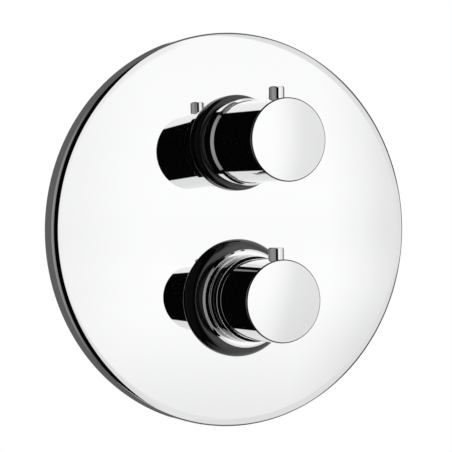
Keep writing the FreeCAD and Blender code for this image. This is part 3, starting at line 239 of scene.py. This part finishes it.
def turned(name, places, origin, facing="front", segments=SEGMENTS, closed=True, angle=30, tilts=()):
    """Turns an outline about an axis: a circle drawn out ring by ring, then closed and given smooth sides."""
    along, rotation = AXES[facing]
    origin = Vector(origin)
    start_fresh()
    radius, depth = places[0]
    bpy.ops.mesh.primitive_circle_add(
        vertices=segments,
        radius=radius,
        fill_type="NOTHING",
        location=origin + along * depth,
        rotation=rotation,
    )
    piece = bpy.context.object
    piece.name = piece.data.name = name
    bpy.ops.object.transform_apply(location=True, rotation=True, scale=True)
    bpy.ops.object.mode_set(mode="EDIT")
    bpy.ops.mesh.select_all(action="SELECT")
    leaning = 0.0
    rings = places[1:] + places[:1] if closed else places[1:]
    tilts = dict(tilts)
    if tilts.get(0):
        lean(tilts[0], origin + along * depth)
        leaning = tilts[0]
    for number, (new_radius, new_depth) in enumerate(rings, start=1):
        shift = along * (new_depth - depth)
        bpy.ops.mesh.extrude_region_move(TRANSFORM_OT_translate={"value": shift})
        centre = origin + along * new_depth
        tilt = tilts.get(number % len(places), 0.0)
        if tilt != leaning:
            lean(tilt - leaning, centre)
            leaning = tilt
        if abs(new_radius - radius) > 1e-9:
            grow = new_radius / radius
            scale = [1.0 if abs(part) > 0.5 else grow for part in along]
            bpy.ops.transform.resize(value=scale, center_override=centre)
        radius, depth = new_radius, new_depth
    bpy.ops.mesh.select_all(action="SELECT")
    bpy.ops.mesh.remove_doubles(threshold=2e-6)
    if not closed:
        bpy.ops.mesh.select_all(action="DESELECT")
        bpy.ops.mesh.select_mode(type="EDGE")
        bpy.ops.mesh.select_non_manifold()
        bpy.ops.mesh.fill_holes(sides=0)
    bpy.ops.mesh.select_mode(type="VERT")
    bpy.ops.mesh.select_all(action="SELECT")
    bpy.ops.mesh.normals_make_consistent(inside=False)
    bpy.ops.object.mode_set(mode="OBJECT")
    bpy.ops.object.shade_smooth_by_angle(angle=math.radians(angle))
    return piece


def domed_step(size, front, radius):
    """The next ring place inward over a handle's slightly domed face."""
    rim = size.handle_radius - size.handle_round
    radius = max(radius - FACE_STEP, 0.0005)
    return radius, front - size.face_dome * (radius / rim) ** 2


def lean(angle, centre):
    """Leans the ring that is being drawn about its middle."""
    bpy.ops.transform.rotate(value=angle, orient_axis="X", center_override=centre)


def cylinder(name, radius, start, end, origin, facing="front", segments=96):
    """A round tool to cut with, between two distances along its axis."""
    along, rotation = AXES[facing]
    start_fresh()
    bpy.ops.mesh.primitive_cylinder_add(
        vertices=segments,
        radius=radius,
        depth=abs(end - start),
        location=Vector(origin) + along * (start + end) / 2,
        rotation=rotation,
    )
    piece = bpy.context.object
    piece.name = piece.data.name = name
    bpy.ops.object.transform_apply(location=True, rotation=True, scale=True)
    return piece


def cut(piece, *tools):
    """Cuts the tools out of the piece and removes them."""
    for tool in tools:
        start_fresh()
        bpy.context.view_layer.objects.active = piece
        piece.select_set(True)
        modifier = piece.modifiers.new("Cut", "BOOLEAN")
        modifier.operation = "DIFFERENCE"
        modifier.solver = "EXACT"
        modifier.object = tool
        bpy.ops.object.modifier_apply(modifier=modifier.name)
        bpy.data.objects.remove(tool)
    start_fresh()
    bpy.context.view_layer.objects.active = piece
    piece.select_set(True)
    bpy.ops.object.shade_smooth_by_angle(angle=math.radians(30))
    return piece


def fit(piece, body, node, material):
    """Gives a finished piece its material, ties it to its body and hides the plain node it stands for."""
    if not piece.data.polygons:
        raise RuntimeError("%s has no faces" % piece.name)
    piece.data.materials.clear()
    piece.data.materials.append(material)
    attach(piece, body)
    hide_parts(node)


# ---------------------------------------------------------------- shader nodes
def add(tree, kind, **values):
    """A new node with its settings."""
    node = tree.nodes.new(kind)
    for key, value in values.items():
        setattr(node, key, value)
    return node


def math_node(tree, operation, first, second=None):
    """The result of a sum on numbers or sockets."""
    node = add(tree, "ShaderNodeMath", operation=operation)
    for socket, source in zip(node.inputs, (first, second)):
        if isinstance(source, (int, float)):
            socket.default_value = source
        elif source is not None:
            tree.links.new(source, socket)
    return node.outputs[0]


def times(tree, first, *others):
    """The product of a few numbers or sockets."""
    for other in others:
        first = math_node(tree, "MULTIPLY", first, other)
    return first


def ease(tree, source, low, high):
    """Goes smoothly from 0 at low to 1 at high."""
    node = add(tree, "ShaderNodeMapRange", interpolation_type="SMOOTHSTEP")
    node.inputs["From Min"].default_value = low
    node.inputs["From Max"].default_value = high
    tree.links.new(source, node.inputs["Value"])
    return node.outputs["Result"]


def grey(level):
    return (level, level, level, 1)


def ramp_of(tree, source, stops):
    """Reads the level at the source's value off the stops (place, level)."""
    low, high = stops[0][0], stops[-1][0]
    node = add(tree, "ShaderNodeValToRGB")
    share = math_node(tree, "DIVIDE", math_node(tree, "SUBTRACT", source, low), high - low)
    tree.links.new(share, node.inputs[0])
    ramp = node.color_ramp
    ramp.elements[1].color = grey(stops[-1][1])
    ramp.elements[0].color = grey(stops[0][1])
    for place, level in stops[1:-1]:
        ramp.elements.new((place - low) / (high - low)).color = grey(level)
    return node.outputs["Color"]


def mix(tree, factor, first, second, blend="MIX"):
    """Goes from the first colour to the second by the factor."""
    node = add(tree, "ShaderNodeMix", data_type="RGBA", blend_type=blend)
    for name, source in (("Factor", factor), ("A", first), ("B", second)):
        if isinstance(source, (tuple, float)):
            node.inputs[name].default_value = source
        else:
            tree.links.new(source, node.inputs[name])
    return node.outputs["Result"]


def parts_of(tree, vector):
    """The X, Y and Z parts of a direction or a place."""
    split = add(tree, "ShaderNodeSeparateXYZ")
    tree.links.new(vector, split.inputs[0])
    return split.outputs


def facing_sides(tree):
    """The parts of the outward direction: to the right, away from the user and up."""
    return parts_of(tree, add(tree, "ShaderNodeNewGeometry").outputs["Normal"])


def own_place(tree):
    """The parts of a spot's place on the piece."""
    return parts_of(tree, add(tree, "ShaderNodeTexCoord").outputs["Object"])


def feed(tree, source, name):
    """Drives one input of the surface from a socket."""
    tree.links.new(source, tree.nodes["Principled BSDF"].inputs[name])


def noise_of(tree, place, scale, detail):
    """Fine noise in the piece's own space."""
    noise = add(tree, "ShaderNodeTexNoise")
    noise.inputs["Scale"].default_value = scale
    noise.inputs["Detail"].default_value = detail
    tree.links.new(place, noise.inputs["Vector"])
    return noise.outputs["Fac"]


# ---------------------------------------------------------------- materials
def surface(name, base, rough, metal=0.0, mottle=0.0, grain=400.0, spread=0.1, bump=0.0, bump_scale=900.0):
    """A procedural surface: noise in the piece's own space shifts its colour, gloss and relief a little."""
    material = bpy.data.materials.new(name)
    material.use_nodes = True
    tree = material.node_tree
    shader = tree.nodes["Principled BSDF"]
    shader.inputs["Base Color"].default_value = (*base, 1)
    shader.inputs["Metallic"].default_value = metal
    place = add(tree, "ShaderNodeTexCoord").outputs["Object"]
    noise = noise_of(tree, place, grain, 4)
    if mottle:
        dark = (*[c * (1 - mottle) for c in base], 1)
        pale = (*[min(1, c * (1 + mottle)) for c in base], 1)
        feed(tree, mix(tree, noise, dark, pale), "Base Color")
    gloss = add(tree, "ShaderNodeMapRange")
    for socket, value in (
        ("From Min", 0.3),
        ("From Max", 0.7),
        ("To Min", rough * (1 - spread)),
        ("To Max", rough * (1 + spread)),
    ):
        gloss.inputs[socket].default_value = value
    tree.links.new(noise, gloss.inputs["Value"])
    feed(tree, gloss.outputs["Result"], "Roughness")
    if bump:
        relief = add(tree, "ShaderNodeBump")
        relief.inputs["Strength"].default_value = 1.0
        relief.inputs["Distance"].default_value = bump
        tree.links.new(noise_of(tree, place, bump_scale, 3), relief.inputs["Height"])
        feed(tree, relief.outputs["Normal"], "Normal")
    return material


def chrome(name, colour, rough=GLOSS):
    """Polished plating."""
    return surface(name, colour, rough, metal=1.0, grain=60, spread=0.2)


def leaned(material, right, up, back=0.0):
    """Leans a plated surface's mirror direction to the right, up and back, each by a number or a socket."""
    tree = material.node_tree
    amount = add(tree, "ShaderNodeCombineXYZ")
    for socket, source in zip(amount.inputs, (right, back, up)):
        if isinstance(source, (int, float)):
            socket.default_value = source
        else:
            tree.links.new(source, socket)
    total = add(tree, "ShaderNodeVectorMath", operation="ADD")
    tree.links.new(add(tree, "ShaderNodeNewGeometry").outputs["Normal"], total.inputs[0])
    tree.links.new(amount.outputs[0], total.inputs[1])
    unit = add(tree, "ShaderNodeVectorMath", operation="NORMALIZE")
    tree.links.new(total.outputs[0], unit.inputs[0])
    feed(tree, unit.outputs[0], "Normal")
    return material


def plate_plating(colour):
    """Chrome of the pressed plate, drawn a little rounder by its lower hole, with painted shade darkening its
    edge and a thin band toward its right.
    """
    material = chrome("PlateChrome", colour)
    tree = material.node_tree
    x, y, z = own_place(tree)
    right, away, up = facing_sides(tree)
    steep = math_node(tree, "ABSOLUTE", up)

    bent = ramp_of(tree, z, PLATE_LEAN)
    near_hole = ease(tree, math_node(tree, "ABSOLUTE", x), 0.045, 0.026)
    bent = math_node(tree, "ADD", bent, times(tree, ramp_of(tree, z, PLATE_DENT), near_hole))
    corner = times(tree, ease(tree, right, -0.72, -0.55), ease(tree, right, 0.0, -0.15))
    corner = times(tree, corner, ease(tree, steep, 0.2, 0.4))
    back = times(tree, corner, ease(tree, away, -0.85, -0.72), 0.6)
    leaned(material, 0.0, math_node(tree, "SUBTRACT", bent, PLATE_LEVEL), back)

    # painted shade: the plating on the edge's tight rounding, and on a thin band toward the right, is mixed
    # toward dark grey
    edge = times(tree, ease(tree, away, -0.86, -0.78), ease(tree, away, 0.3, 0.05))
    edge = times(tree, edge, ease(tree, right, -0.65, -0.4), math_node(tree, "SUBTRACT", 1.0, corner))
    line = times(tree, ease(tree, away, -0.94, -0.905), ease(tree, right, 0.2, 0.3))
    line = times(tree, line, ease(tree, steep, 0.06, 0.13))
    shade = mix(tree, math_node(tree, "MAXIMUM", edge, line), (*colour, 1), (0.16, 0.16, 0.165, 1))
    feed(tree, shade, "Base Color")
    return material


def black_rubber(colour):
    """Rubber of the two rings, with painted shade: its shine is turned down on faces turned to the left."""
    material = surface("BlackRubber", colour, 0.16, mottle=0.1, grain=300, spread=0.12, bump=0.000002)
    tree = material.node_tree
    # painted shade: less shine on faces turned to the left, so that side of the rings looks darker
    shine = [(-1.0, 0.1), (-0.5, 0.14), (-0.25, 0.6), (0.0, 1.0), (1.0, 1.0)]
    feed(tree, ramp_of(tree, facing_sides(tree)["X"], shine), "Specular IOR Level")
    return material


def front_ring_plating(size):
    """Chrome of the ring in the lower sleeve's mouth, with painted shade making it near black everywhere but
    round its front edge.
    """
    material = chrome("FrontRingChrome", size.chrome, 0.025)
    tree = material.node_tree
    x, y, z = own_place(tree)
    height = math_node(tree, "SUBTRACT", z, size.lower_axis)
    squares = [times(tree, part, part) for part in (x, height)]
    radius = math_node(tree, "SQRT", math_node(tree, "ADD", *squares))
    outer = ease(tree, radius, size.lower_sleeve - 0.00035, size.lower_sleeve - 0.0003)
    front = ease(tree, y, 0.00035 - FRONT_RING_FRONT, 0.0003 - FRONT_RING_FRONT)
    # painted shade: all but a thin band round the outer front edge takes a near-black colour
    shade = mix(tree, times(tree, outer, front), grey(0.014), (*size.chrome, 1))
    feed(tree, shade, "Base Color")
    return material


def handle_plating(colour):
    """Chrome of the handles, whose faces lean a little, with painted shade darkening the rounding round each
    face.
    """
    material = chrome("HandleChrome", colour)
    tree = material.node_tree
    away = facing_sides(tree)["Y"]
    # painted shade: the rounding between a handle's face and its side is mixed toward dark grey
    rim = times(tree, ease(tree, away, -0.99, -0.96), ease(tree, away, -0.15, -0.3))
    feed(tree, mix(tree, rim, (*colour, 1), (0.08, 0.08, 0.082, 1)), "Base Color")
    face = ease(tree, away, -0.985, -0.997)
    return leaned(material, times(tree, face, 0.047), times(tree, face, -0.01))


class VALVE_OT_finishes(bpy.types.Operator):
    """Makes one procedural surface for each kind of material and gives the inner pieces theirs"""

    bl_idname = "valve.finishes"
    bl_label = "Surfaces"

    def execute(self, context):
        size = context.scene.valve_sizes
        SLOTS["chrome"] = chrome("Chrome", size.chrome)
        SLOTS["plate_chrome"] = plate_plating(size.chrome)
        SLOTS["handle_chrome"] = handle_plating(size.chrome)
        SLOTS["ring_chrome"] = front_ring_plating(size)
        SLOTS["black_rubber"] = black_rubber(size.rubber)
        SLOTS["foam"] = surface("Foam", (0.05, 0.05, 0.052), 0.95, mottle=0.35, grain=1800, bump=0.0001)
        cast = dict(mottle=0.10, grain=120, bump=0.00006, bump_scale=1400)
        SLOTS["raw_brass"] = surface("CastBrass", (0.64, 0.46, 0.20), 0.42, metal=1.0, **cast)
        SLOTS["turned_brass"] = surface("TurnedBrass", (0.78, 0.58, 0.26), 0.22, metal=1.0, mottle=0.04)
        SLOTS["stainless"] = surface("Stainless", (0.60, 0.60, 0.59), 0.30, metal=1.0, mottle=0.05, grain=250)
        SLOTS["spring_steel"] = surface("SpringSteel", (0.50, 0.50, 0.51), 0.25, metal=1.0, mottle=0.06)
        SLOTS["white_plastic"] = surface("WhitePlastic", (0.80, 0.80, 0.77), 0.38, mottle=0.02, bump=0.000004)
        SLOTS["grey_plastic"] = surface("GreyPlastic", (0.22, 0.23, 0.24), 0.42, mottle=0.04, bump=0.000005)
        SLOTS["copper"] = surface("Copper", (0.85, 0.44, 0.30), 0.25, metal=1.0, mottle=0.06)
        SLOTS["white_ceramic"] = surface("Ceramic", (0.86, 0.86, 0.84), 0.18, mottle=0.015)
        nodes = FRAME["nodes"]
        for part in FRAME["record"]["subparts"]:
            for slot in nodes[part["node"]].material_slots:
                slot.material = SLOTS[part["material_slot"]]
        return {"FINISHED"}


# ---------------------------------------------------------------- pieces
def ball_radius(size):
    """Radius of the ball that the plate's domed face is a part of."""
    return (size.plate_radius**2 + size.plate_dome**2) / (2 * size.plate_dome)


class VALVE_OT_wall_plate(bpy.types.Operator):
    """The pressed round plate: a dish with a slightly domed face, a rounded edge and two round openings"""

    bl_idname = "valve.wall_plate"
    bl_label = "Wall plate"

    def execute(self, context):
        size = context.scene.valve_sizes
        face = size.plate_edge_depth + size.plate_dome
        ball = ball_radius(size)
        places = []
        for wall, inward in ((0.0, False), (size.plate_wall, True)):
            shell = ball - wall
            edge = size.plate_radius - wall
            wide, tight = size.plate_roll - wall, size.plate_round - wall
            turn_in = edge - tight - (wide - tight) * math.sin(size.plate_roll_angle)
            centre = face - ball + math.sqrt((shell - wide) ** 2 - turn_in**2)
            lean_out = math.asin(turn_in / (shell - wide))
            spots = []
            radius = 0.002
            while radius < turn_in - 0.0006:
                spots.append((radius, face - ball + math.sqrt(shell**2 - radius**2)))
                radius += PLATE_STEP
            for gap in (0.0004, 0.0002):
                radius = turn_in + wide * math.sin(lean_out) - gap
                spots.append((radius, face - ball + math.sqrt(shell**2 - radius**2)))
            for step in range(11):
                angle = lean_out + (size.plate_roll_angle - lean_out) * step / 10
                spots.append((turn_in + wide * math.sin(angle), centre + wide * math.cos(angle)))
            turn_in += (wide - tight) * math.sin(size.plate_roll_angle)
            centre += (wide - tight) * math.cos(size.plate_roll_angle)
            for step in range(1, 13):
                angle = size.plate_roll_angle + (math.pi / 2 - size.plate_roll_angle) * step / 12
                spots.append((turn_in + tight * math.sin(angle), centre + tight * math.cos(angle)))
            spots += [(edge, centre - 0.0003), (edge, 0.0002), (edge, 0.0)]
            places += spots[::-1] if inward else spots
        plate = turned("WallPlateTrim", places, (0, 0, 0), segments=320, closed=False)
        holes = [
            cylinder(name, radius + HOLE_GAP, 0.0, 0.02, (0, 0, height), segments=192)
            for name, radius, height in (
                ("UpperHole", size.upper_sleeve, size.upper_axis),
                ("LowerHole", size.lower_sleeve, size.lower_axis),
            )
        ]
        cut(plate, *holes)
        fit(plate, "housing", "wall_plate", SLOTS["plate_chrome"])
        return {"FINISHED"}


class VALVE_OT_seal_rings(bpy.types.Operator):
    """The two black rubber rings that lie on the plate round the sleeves"""

    bl_idname = "valve.seal_rings"
    bl_label = "Rubber rings"

    def execute(self, context):
        size = context.scene.valve_sizes
        ball = ball_radius(size)
        for side, radius, bore, height, thickness, rounding in (
            ("upper", size.upper_ring, size.upper_sleeve, size.upper_axis, UPPER_RING_HEIGHT, 0.0024),
            ("lower", size.lower_ring, size.lower_sleeve, size.lower_axis, LOWER_RING_HEIGHT, 0.0050),
        ):
            seat = size.plate_edge_depth + size.plate_dome - height**2 / (2 * ball)
            places = rounded(
                [
                    (bore, seat, 0),
                    (radius, seat, 0),
                    (radius, seat + thickness, rounding),
                    (bore, seat + thickness, 0.0002),
                ]
            )
            tilt = math.asin(height / ball)
            name = side.capitalize() + "RubberRing"
            ring = turned(name, places, (0, 0, height), tilts={0: tilt, 1: tilt})
            fit(ring, "housing", side + "_seal_ring", SLOTS["black_rubber"])
        return {"FINISHED"}


class VALVE_OT_sleeves(bpy.types.Operator):
    """The chrome sleeves that come through the plate and that the handles turn in"""

    bl_idname = "valve.sleeves"
    bl_label = "Sleeves"

    def execute(self, context):
        size = context.scene.valve_sizes
        upper = rounded(
            [
                (SLEEVE_ROOT, SLEEVE_BACK, 0),
                (size.upper_sleeve, SLEEVE_BACK, 0.0003),
                (size.upper_sleeve, UPPER_SLEEVE_FRONT - 0.0022, 0.0003),
                (size.sleeve_bore + 0.00015, UPPER_SLEEVE_FRONT, 0.0),
                (size.sleeve_bore, UPPER_SLEEVE_FRONT, 0.0),
                (size.sleeve_bore, SLEEVE_STEP, 0.0003),
                (SLEEVE_ROOT, SLEEVE_STEP, 0),
            ],
            steps=4,
        )
        lower = rounded(
            [
                (SLEEVE_ROOT, SLEEVE_BACK, 0),
                (size.lower_sleeve, SLEEVE_BACK, 0.0003),
                (size.lower_sleeve, LOWER_SLEEVE_FRONT, 0.00025),
                (size.sleeve_bore, LOWER_SLEEVE_FRONT, 0.00025),
                (size.sleeve_bore, SLEEVE_STEP, 0.0003),
                (SLEEVE_ROOT, SLEEVE_STEP, 0),
            ],
            steps=4,
        )
        for name, node, places, height in (
            ("UpperSleeveTrim", "upper_sleeve", upper, size.upper_axis),
            ("LowerSleeveTrim", "lower_sleeve", lower, size.lower_axis),
        ):
            sleeve = turned(name, places, (0, 0, height))
            fit(sleeve, "housing", node, SLOTS["chrome"])
        return {"FINISHED"}


class VALVE_OT_lower_collar(bpy.types.Operator):
    """The collar screwed down on the lower sleeve"""

    bl_idname = "valve.lower_collar"
    bl_label = "Collar"

    def execute(self, context):
        size = context.scene.valve_sizes
        front = COLLAR_BACK + COLLAR_LENGTH
        places = rounded(
            [
                (size.lower_sleeve, COLLAR_BACK, 0),
                (size.collar_radius, COLLAR_BACK, 0.0002),
                (size.collar_radius, front - 0.001, 0.0003),
                (size.collar_radius - 0.001, front, 0.0003),
                (size.lower_sleeve, front, 0.0002),
            ],
            steps=4,
        )
        collar = turned("LowerCollarTrim", places, (0, 0, size.lower_axis))
        fit(collar, "housing", "lower_collar", SLOTS["chrome"])
        return {"FINISHED"}


class VALVE_OT_front_ring(bpy.types.Operator):
    """The trim ring in the lower sleeve's mouth"""

    bl_idname = "valve.front_ring"
    bl_label = "Front ring"

    def execute(self, context):
        size = context.scene.valve_sizes
        places = rounded(
            [
                (size.sleeve_bore, LOWER_SLEEVE_FRONT, 0),
                (size.lower_sleeve - 0.0004, LOWER_SLEEVE_FRONT, 0),
                (size.lower_sleeve - 0.0004, LOWER_SLEEVE_FRONT + 0.0004, 0),
                (size.lower_sleeve, LOWER_SLEEVE_FRONT + 0.0004, 0.00015),
                (size.lower_sleeve, FRONT_RING_FRONT, 0.0003),
                (size.sleeve_bore, FRONT_RING_FRONT, 0.0002),
            ],
            steps=4,
        )
        ring = turned("LowerFrontRingTrim", places, (0, 0, size.lower_axis))
        fit(ring, "housing", "lower_front_ring", SLOTS["ring_chrome"])
        return {"FINISHED"}


def handle_places(size):
    """Name, face depth, pin setback and axis height of the two handles."""
    return (
        ("upper", size.upper_front, size.upper_pin, size.upper_axis),
        ("lower", size.lower_front, size.lower_pin, size.lower_axis),
    )


class VALVE_OT_handles(bpy.types.Operator):
    """The two cup-shaped handles, each with a hole for its lever pin and one for its grub screw"""

    bl_idname = "valve.handles"
    bl_label = "Handles"

    def execute(self, context):
        size = context.scene.valve_sizes
        bore = size.handle_radius - size.handle_wall
        for side, front, setback, height in handle_places(size):
            ceiling = front - size.handle_cap
            inside = [(0.001, ceiling), (bore, ceiling), (bore, size.handle_back)]
            outside = rounded(
                [
                    (bore, size.handle_back, 0),
                    (size.handle_radius, size.handle_back, 0.0003),
                    (size.handle_radius, front - size.face_dome, size.handle_round),
                    (size.handle_radius - 0.003, front - size.face_dome, 0),
                ],
                steps=10,
            )[:-1]
            while outside[-1][0] > 0.0006:
                outside.append(domed_step(size, front, outside[-1][0]))
            pin = front - setback
            rings = [size.grub_depth - 0.004, size.grub_depth + 0.004, pin - 0.006, pin + 0.006]
            turn = next(i for i, place in enumerate(outside) if place[1] > size.handle_back + 0.01)
            last = outside[turn][1] - 0.001
            outside[turn:turn] = [(size.handle_radius, depth) for depth in rings if depth < last]
            name = side.capitalize() + "HandleShell"
            handle = turned(name, inside + outside[1:], (0, 0, height), closed=False)
            top, bottom = height + size.handle_radius + 0.004, height - size.handle_radius - 0.004
            cut(
                handle,
                cylinder("PinHole", size.pin_radius + 0.00003, height + 0.015, top, (0, -pin, 0), "up"),
                cylinder("GrubHole", GRUB_RADIUS, bottom, height - 0.015, (0, -size.grub_depth, 0), "up", 64),
            )
            fit(handle, side + "_knob", side + "_handle", SLOTS["handle_chrome"])
        return {"FINISHED"}


class VALVE_OT_lever_pins(bpy.types.Operator):
    """The short round lever pins that stand on the handles"""

    bl_idname = "valve.lever_pins"
    bl_label = "Lever pins"

    def execute(self, context):
        size = context.scene.valve_sizes
        bore = size.handle_radius - size.handle_wall
        for side, front, setback, height in handle_places(size):
            places = rounded(
                [
                    (0.0005, bore, 0),
                    (size.pin_radius, bore, 0),
                    (size.pin_radius, size.handle_radius + size.pin_rise - 0.0005, 0.0002),
                    (size.pin_radius - 0.0005, size.handle_radius + size.pin_rise, 0.0002),
                    (0.0005, size.handle_radius + size.pin_rise, 0),
                ],
                steps=4,
            )
            origin = (0, setback - front, height)
            pin = turned(side.capitalize() + "LeverPin", places, origin, "up", 128, False)
            fit(pin, side + "_knob", side + "_handle_pin", SLOTS["chrome"])
        return {"FINISHED"}


class VALVE_OT_springs(bpy.types.Operator):
    """Gives each spring a mesh of its own; the axis and fixed end worked out for it are not used"""

    bl_idname = "valve.springs"
    bl_label = "Springs"

    def execute(self, context):
        for joint in FRAME["record"]["behaviour"]["joints"]:
            for row in joint.get("deforming_nodes", []):
                letter = row["mode"][-1]
                part = "xyz".index(letter)
                spring = FRAME["nodes"][row["node"]]
                axis, anchor = [0, 0, 0], [0, 0, 0]
                axis[part] = 1
                anchor[part] = row["fixed_end_%s_m" % letter]
                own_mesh(spring)
        return {"FINISHED"}


# ---------------------------------------------------------------- studio
def camera_place():
    """Where the camera stands and which way it looks."""
    azimuth, elevation, roll = (math.radians(angle) for angle in CAMERA_ANGLES)
    back = Vector(
        (
            math.sin(azimuth) * math.cos(elevation),
            -math.cos(azimuth) * math.cos(elevation),
            math.sin(elevation),
        )
    )
    across = Vector((0, 0, 1)).cross(back).normalized()
    upright = back.cross(across)
    right = math.cos(roll) * across + math.sin(roll) * upright
    top = -math.sin(roll) * across + math.cos(roll) * upright
    aside, above = (shift / FOCAL_PIXELS * CAMERA_DISTANCE for shift in OFF_CENTRE)
    spot = Vector(AIM) - right * aside + top * above + back * CAMERA_DISTANCE
    return Matrix.Translation(spot) @ Matrix((right, top, back)).transposed().to_4x4()


def room_level(tree):
    """What the chrome mirrors: a pale front with a black strip left of it, a grey side and a dark rear."""
    x, y, z = parts_of(tree, add(tree, "ShaderNodeTexCoord").outputs["Generated"])
    toward = times(tree, y, -1.0)
    heading = times(tree, math_node(tree, "ARCTAN2", x, toward), 180 / math.pi)
    rise = times(tree, math_node(tree, "ARCSINE", z), 180 / math.pi)
    low_rise = math_node(tree, "MAXIMUM", math_node(tree, "MINIMUM", rise, -1.0), -40.0)
    slanted = math_node(tree, "SUBTRACT", heading, times(tree, low_rise, 0.25))
    bright = mix(tree, 1.0, ramp_of(tree, slanted, PANEL), ramp_of(tree, rise, SKY), "MULTIPLY")
    bright = mix(tree, 1.0, bright, grey(LEAST_BRIGHT), "LIGHTEN")
    left = mix(tree, ease(tree, x, -0.56, -0.49), ramp_of(tree, x, GREY_SIDE), grey(BLACK_STRIP))
    front = mix(tree, ease(tree, x, -0.005, 0.025), left, bright)
    level = times(tree, ease(tree, x, -0.1, 0.1), ease(tree, math_node(tree, "ABSOLUTE", rise), 40, 25))
    rear = math_node(tree, "ADD", toward, times(tree, level, -0.45))
    room = mix(tree, ease(tree, rear, -0.36, -0.32), grey(DARK_REAR), front)
    opening = math_node(tree, "SUBTRACT", times(tree, x, 0.449), times(tree, toward, 0.8935))
    return mix(tree, ease(tree, opening, 0.985, 0.990), room, grey(1))


class VALVE_OT_stage(bpy.types.Operator):
    """The pale floor, the camera, a soft lamp and the white room with its dark side round the camera"""

    bl_idname = "valve.stage"
    bl_label = "Studio"

    def execute(self, context):
        start_fresh()
        bpy.ops.mesh.primitive_circle_add(vertices=96, radius=0.45, fill_type="NGON", location=(0, 0, -1.1))
        floor = context.object
        floor.name = "Floor"
        floor.data.materials.append(surface("PaleFloor", (0.86, 0.86, 0.86), 0.7, mottle=0.01, grain=8))
        floor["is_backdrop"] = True

        bpy.ops.object.camera_add()
        camera = context.object
        camera.data.lens = FOCAL_PIXELS / PICTURE_PIXELS * FILM_WIDTH
        camera.data.sensor_width = FILM_WIDTH
        camera.data.clip_start, camera.data.clip_end = 0.05, 50
        camera.matrix_world = camera_place()
        context.scene.camera = camera

        bpy.ops.object.light_add(type="AREA", location=LAMP_PLACE)
        lamp = context.object
        lamp.data.shape = "DISK"
        lamp.data.size = LAMP_WIDTH
        lamp.data.energy = LAMP_POWER
        lamp.rotation_euler = (Vector((0, 0, 0)) - lamp.location).to_track_quat("-Z", "Y").to_euler()
        lamp.visible_glossy = False

        world = bpy.data.worlds.new("WhiteRoom")
        context.scene.world = world
        world.use_nodes = True
        tree = world.node_tree
        tree.nodes.clear()
        path = add(tree, "ShaderNodeLightPath")
        shiny = math_node(tree, "MAXIMUM", path.outputs["Is Glossy Ray"], path.outputs["Is Transmission Ray"])
        plain = mix(tree, shiny, grey(PLAIN_LIGHT), room_level(tree))
        seen = mix(tree, path.outputs["Is Camera Ray"], plain, grey(1))
        glow = add(tree, "ShaderNodeBackground")
        tree.links.new(seen, glow.inputs["Color"])
        out = add(tree, "ShaderNodeOutputWorld")
        tree.links.new(glow.outputs[0], out.inputs["Surface"])
        context.scene.view_settings.view_transform = "Standard"
        return {"FINISHED"}


class VALVE_PT_panel(bpy.types.Panel):
    """Lists the steps that build the shower valve"""

    bl_idname = "VALVE_PT_panel"
    bl_label = "Shower Valve"
    bl_space_type = "VIEW_3D"
    bl_region_type = "UI"
    bl_category = "Shower Valve"

    def draw(self, context):
        column = self.layout.column()
        for step in STEPS:
            column.operator(step.bl_idname)


STEPS = (
    VALVE_OT_finishes,
    VALVE_OT_wall_plate,
    VALVE_OT_seal_rings,
    VALVE_OT_sleeves,
    VALVE_OT_lower_collar,
    VALVE_OT_front_ring,
    VALVE_OT_handles,
    VALVE_OT_lever_pins,
    VALVE_OT_springs,
    VALVE_OT_stage,
)
CLASSES = (ValveSizes, *STEPS, VALVE_PT_panel)


def register():
    for item in CLASSES:
        bpy.utils.register_class(item)
    bpy.types.Scene.valve_sizes = bpy.props.PointerProperty(type=ValveSizes)


def unregister():
    del bpy.types.Scene.valve_sizes
    for item in reversed(CLASSES):
        bpy.utils.unregister_class(item)


def corners():
    """The lowest and highest corner of what is shown."""
    return [list(corner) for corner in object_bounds()]


def main():
    global FRAME
    register()
    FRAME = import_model()
    bpy.ops.valve.finishes()
    bpy.ops.valve.wall_plate()
    bpy.ops.valve.seal_rings()
    bpy.ops.valve.sleeves()
    bpy.ops.valve.lower_collar()
    bpy.ops.valve.front_ring()
    bpy.ops.valve.handles()
    bpy.ops.valve.lever_pins()
    bpy.ops.valve.springs()
    bpy.ops.valve.stage()


if __name__ == "__main__":
    main()
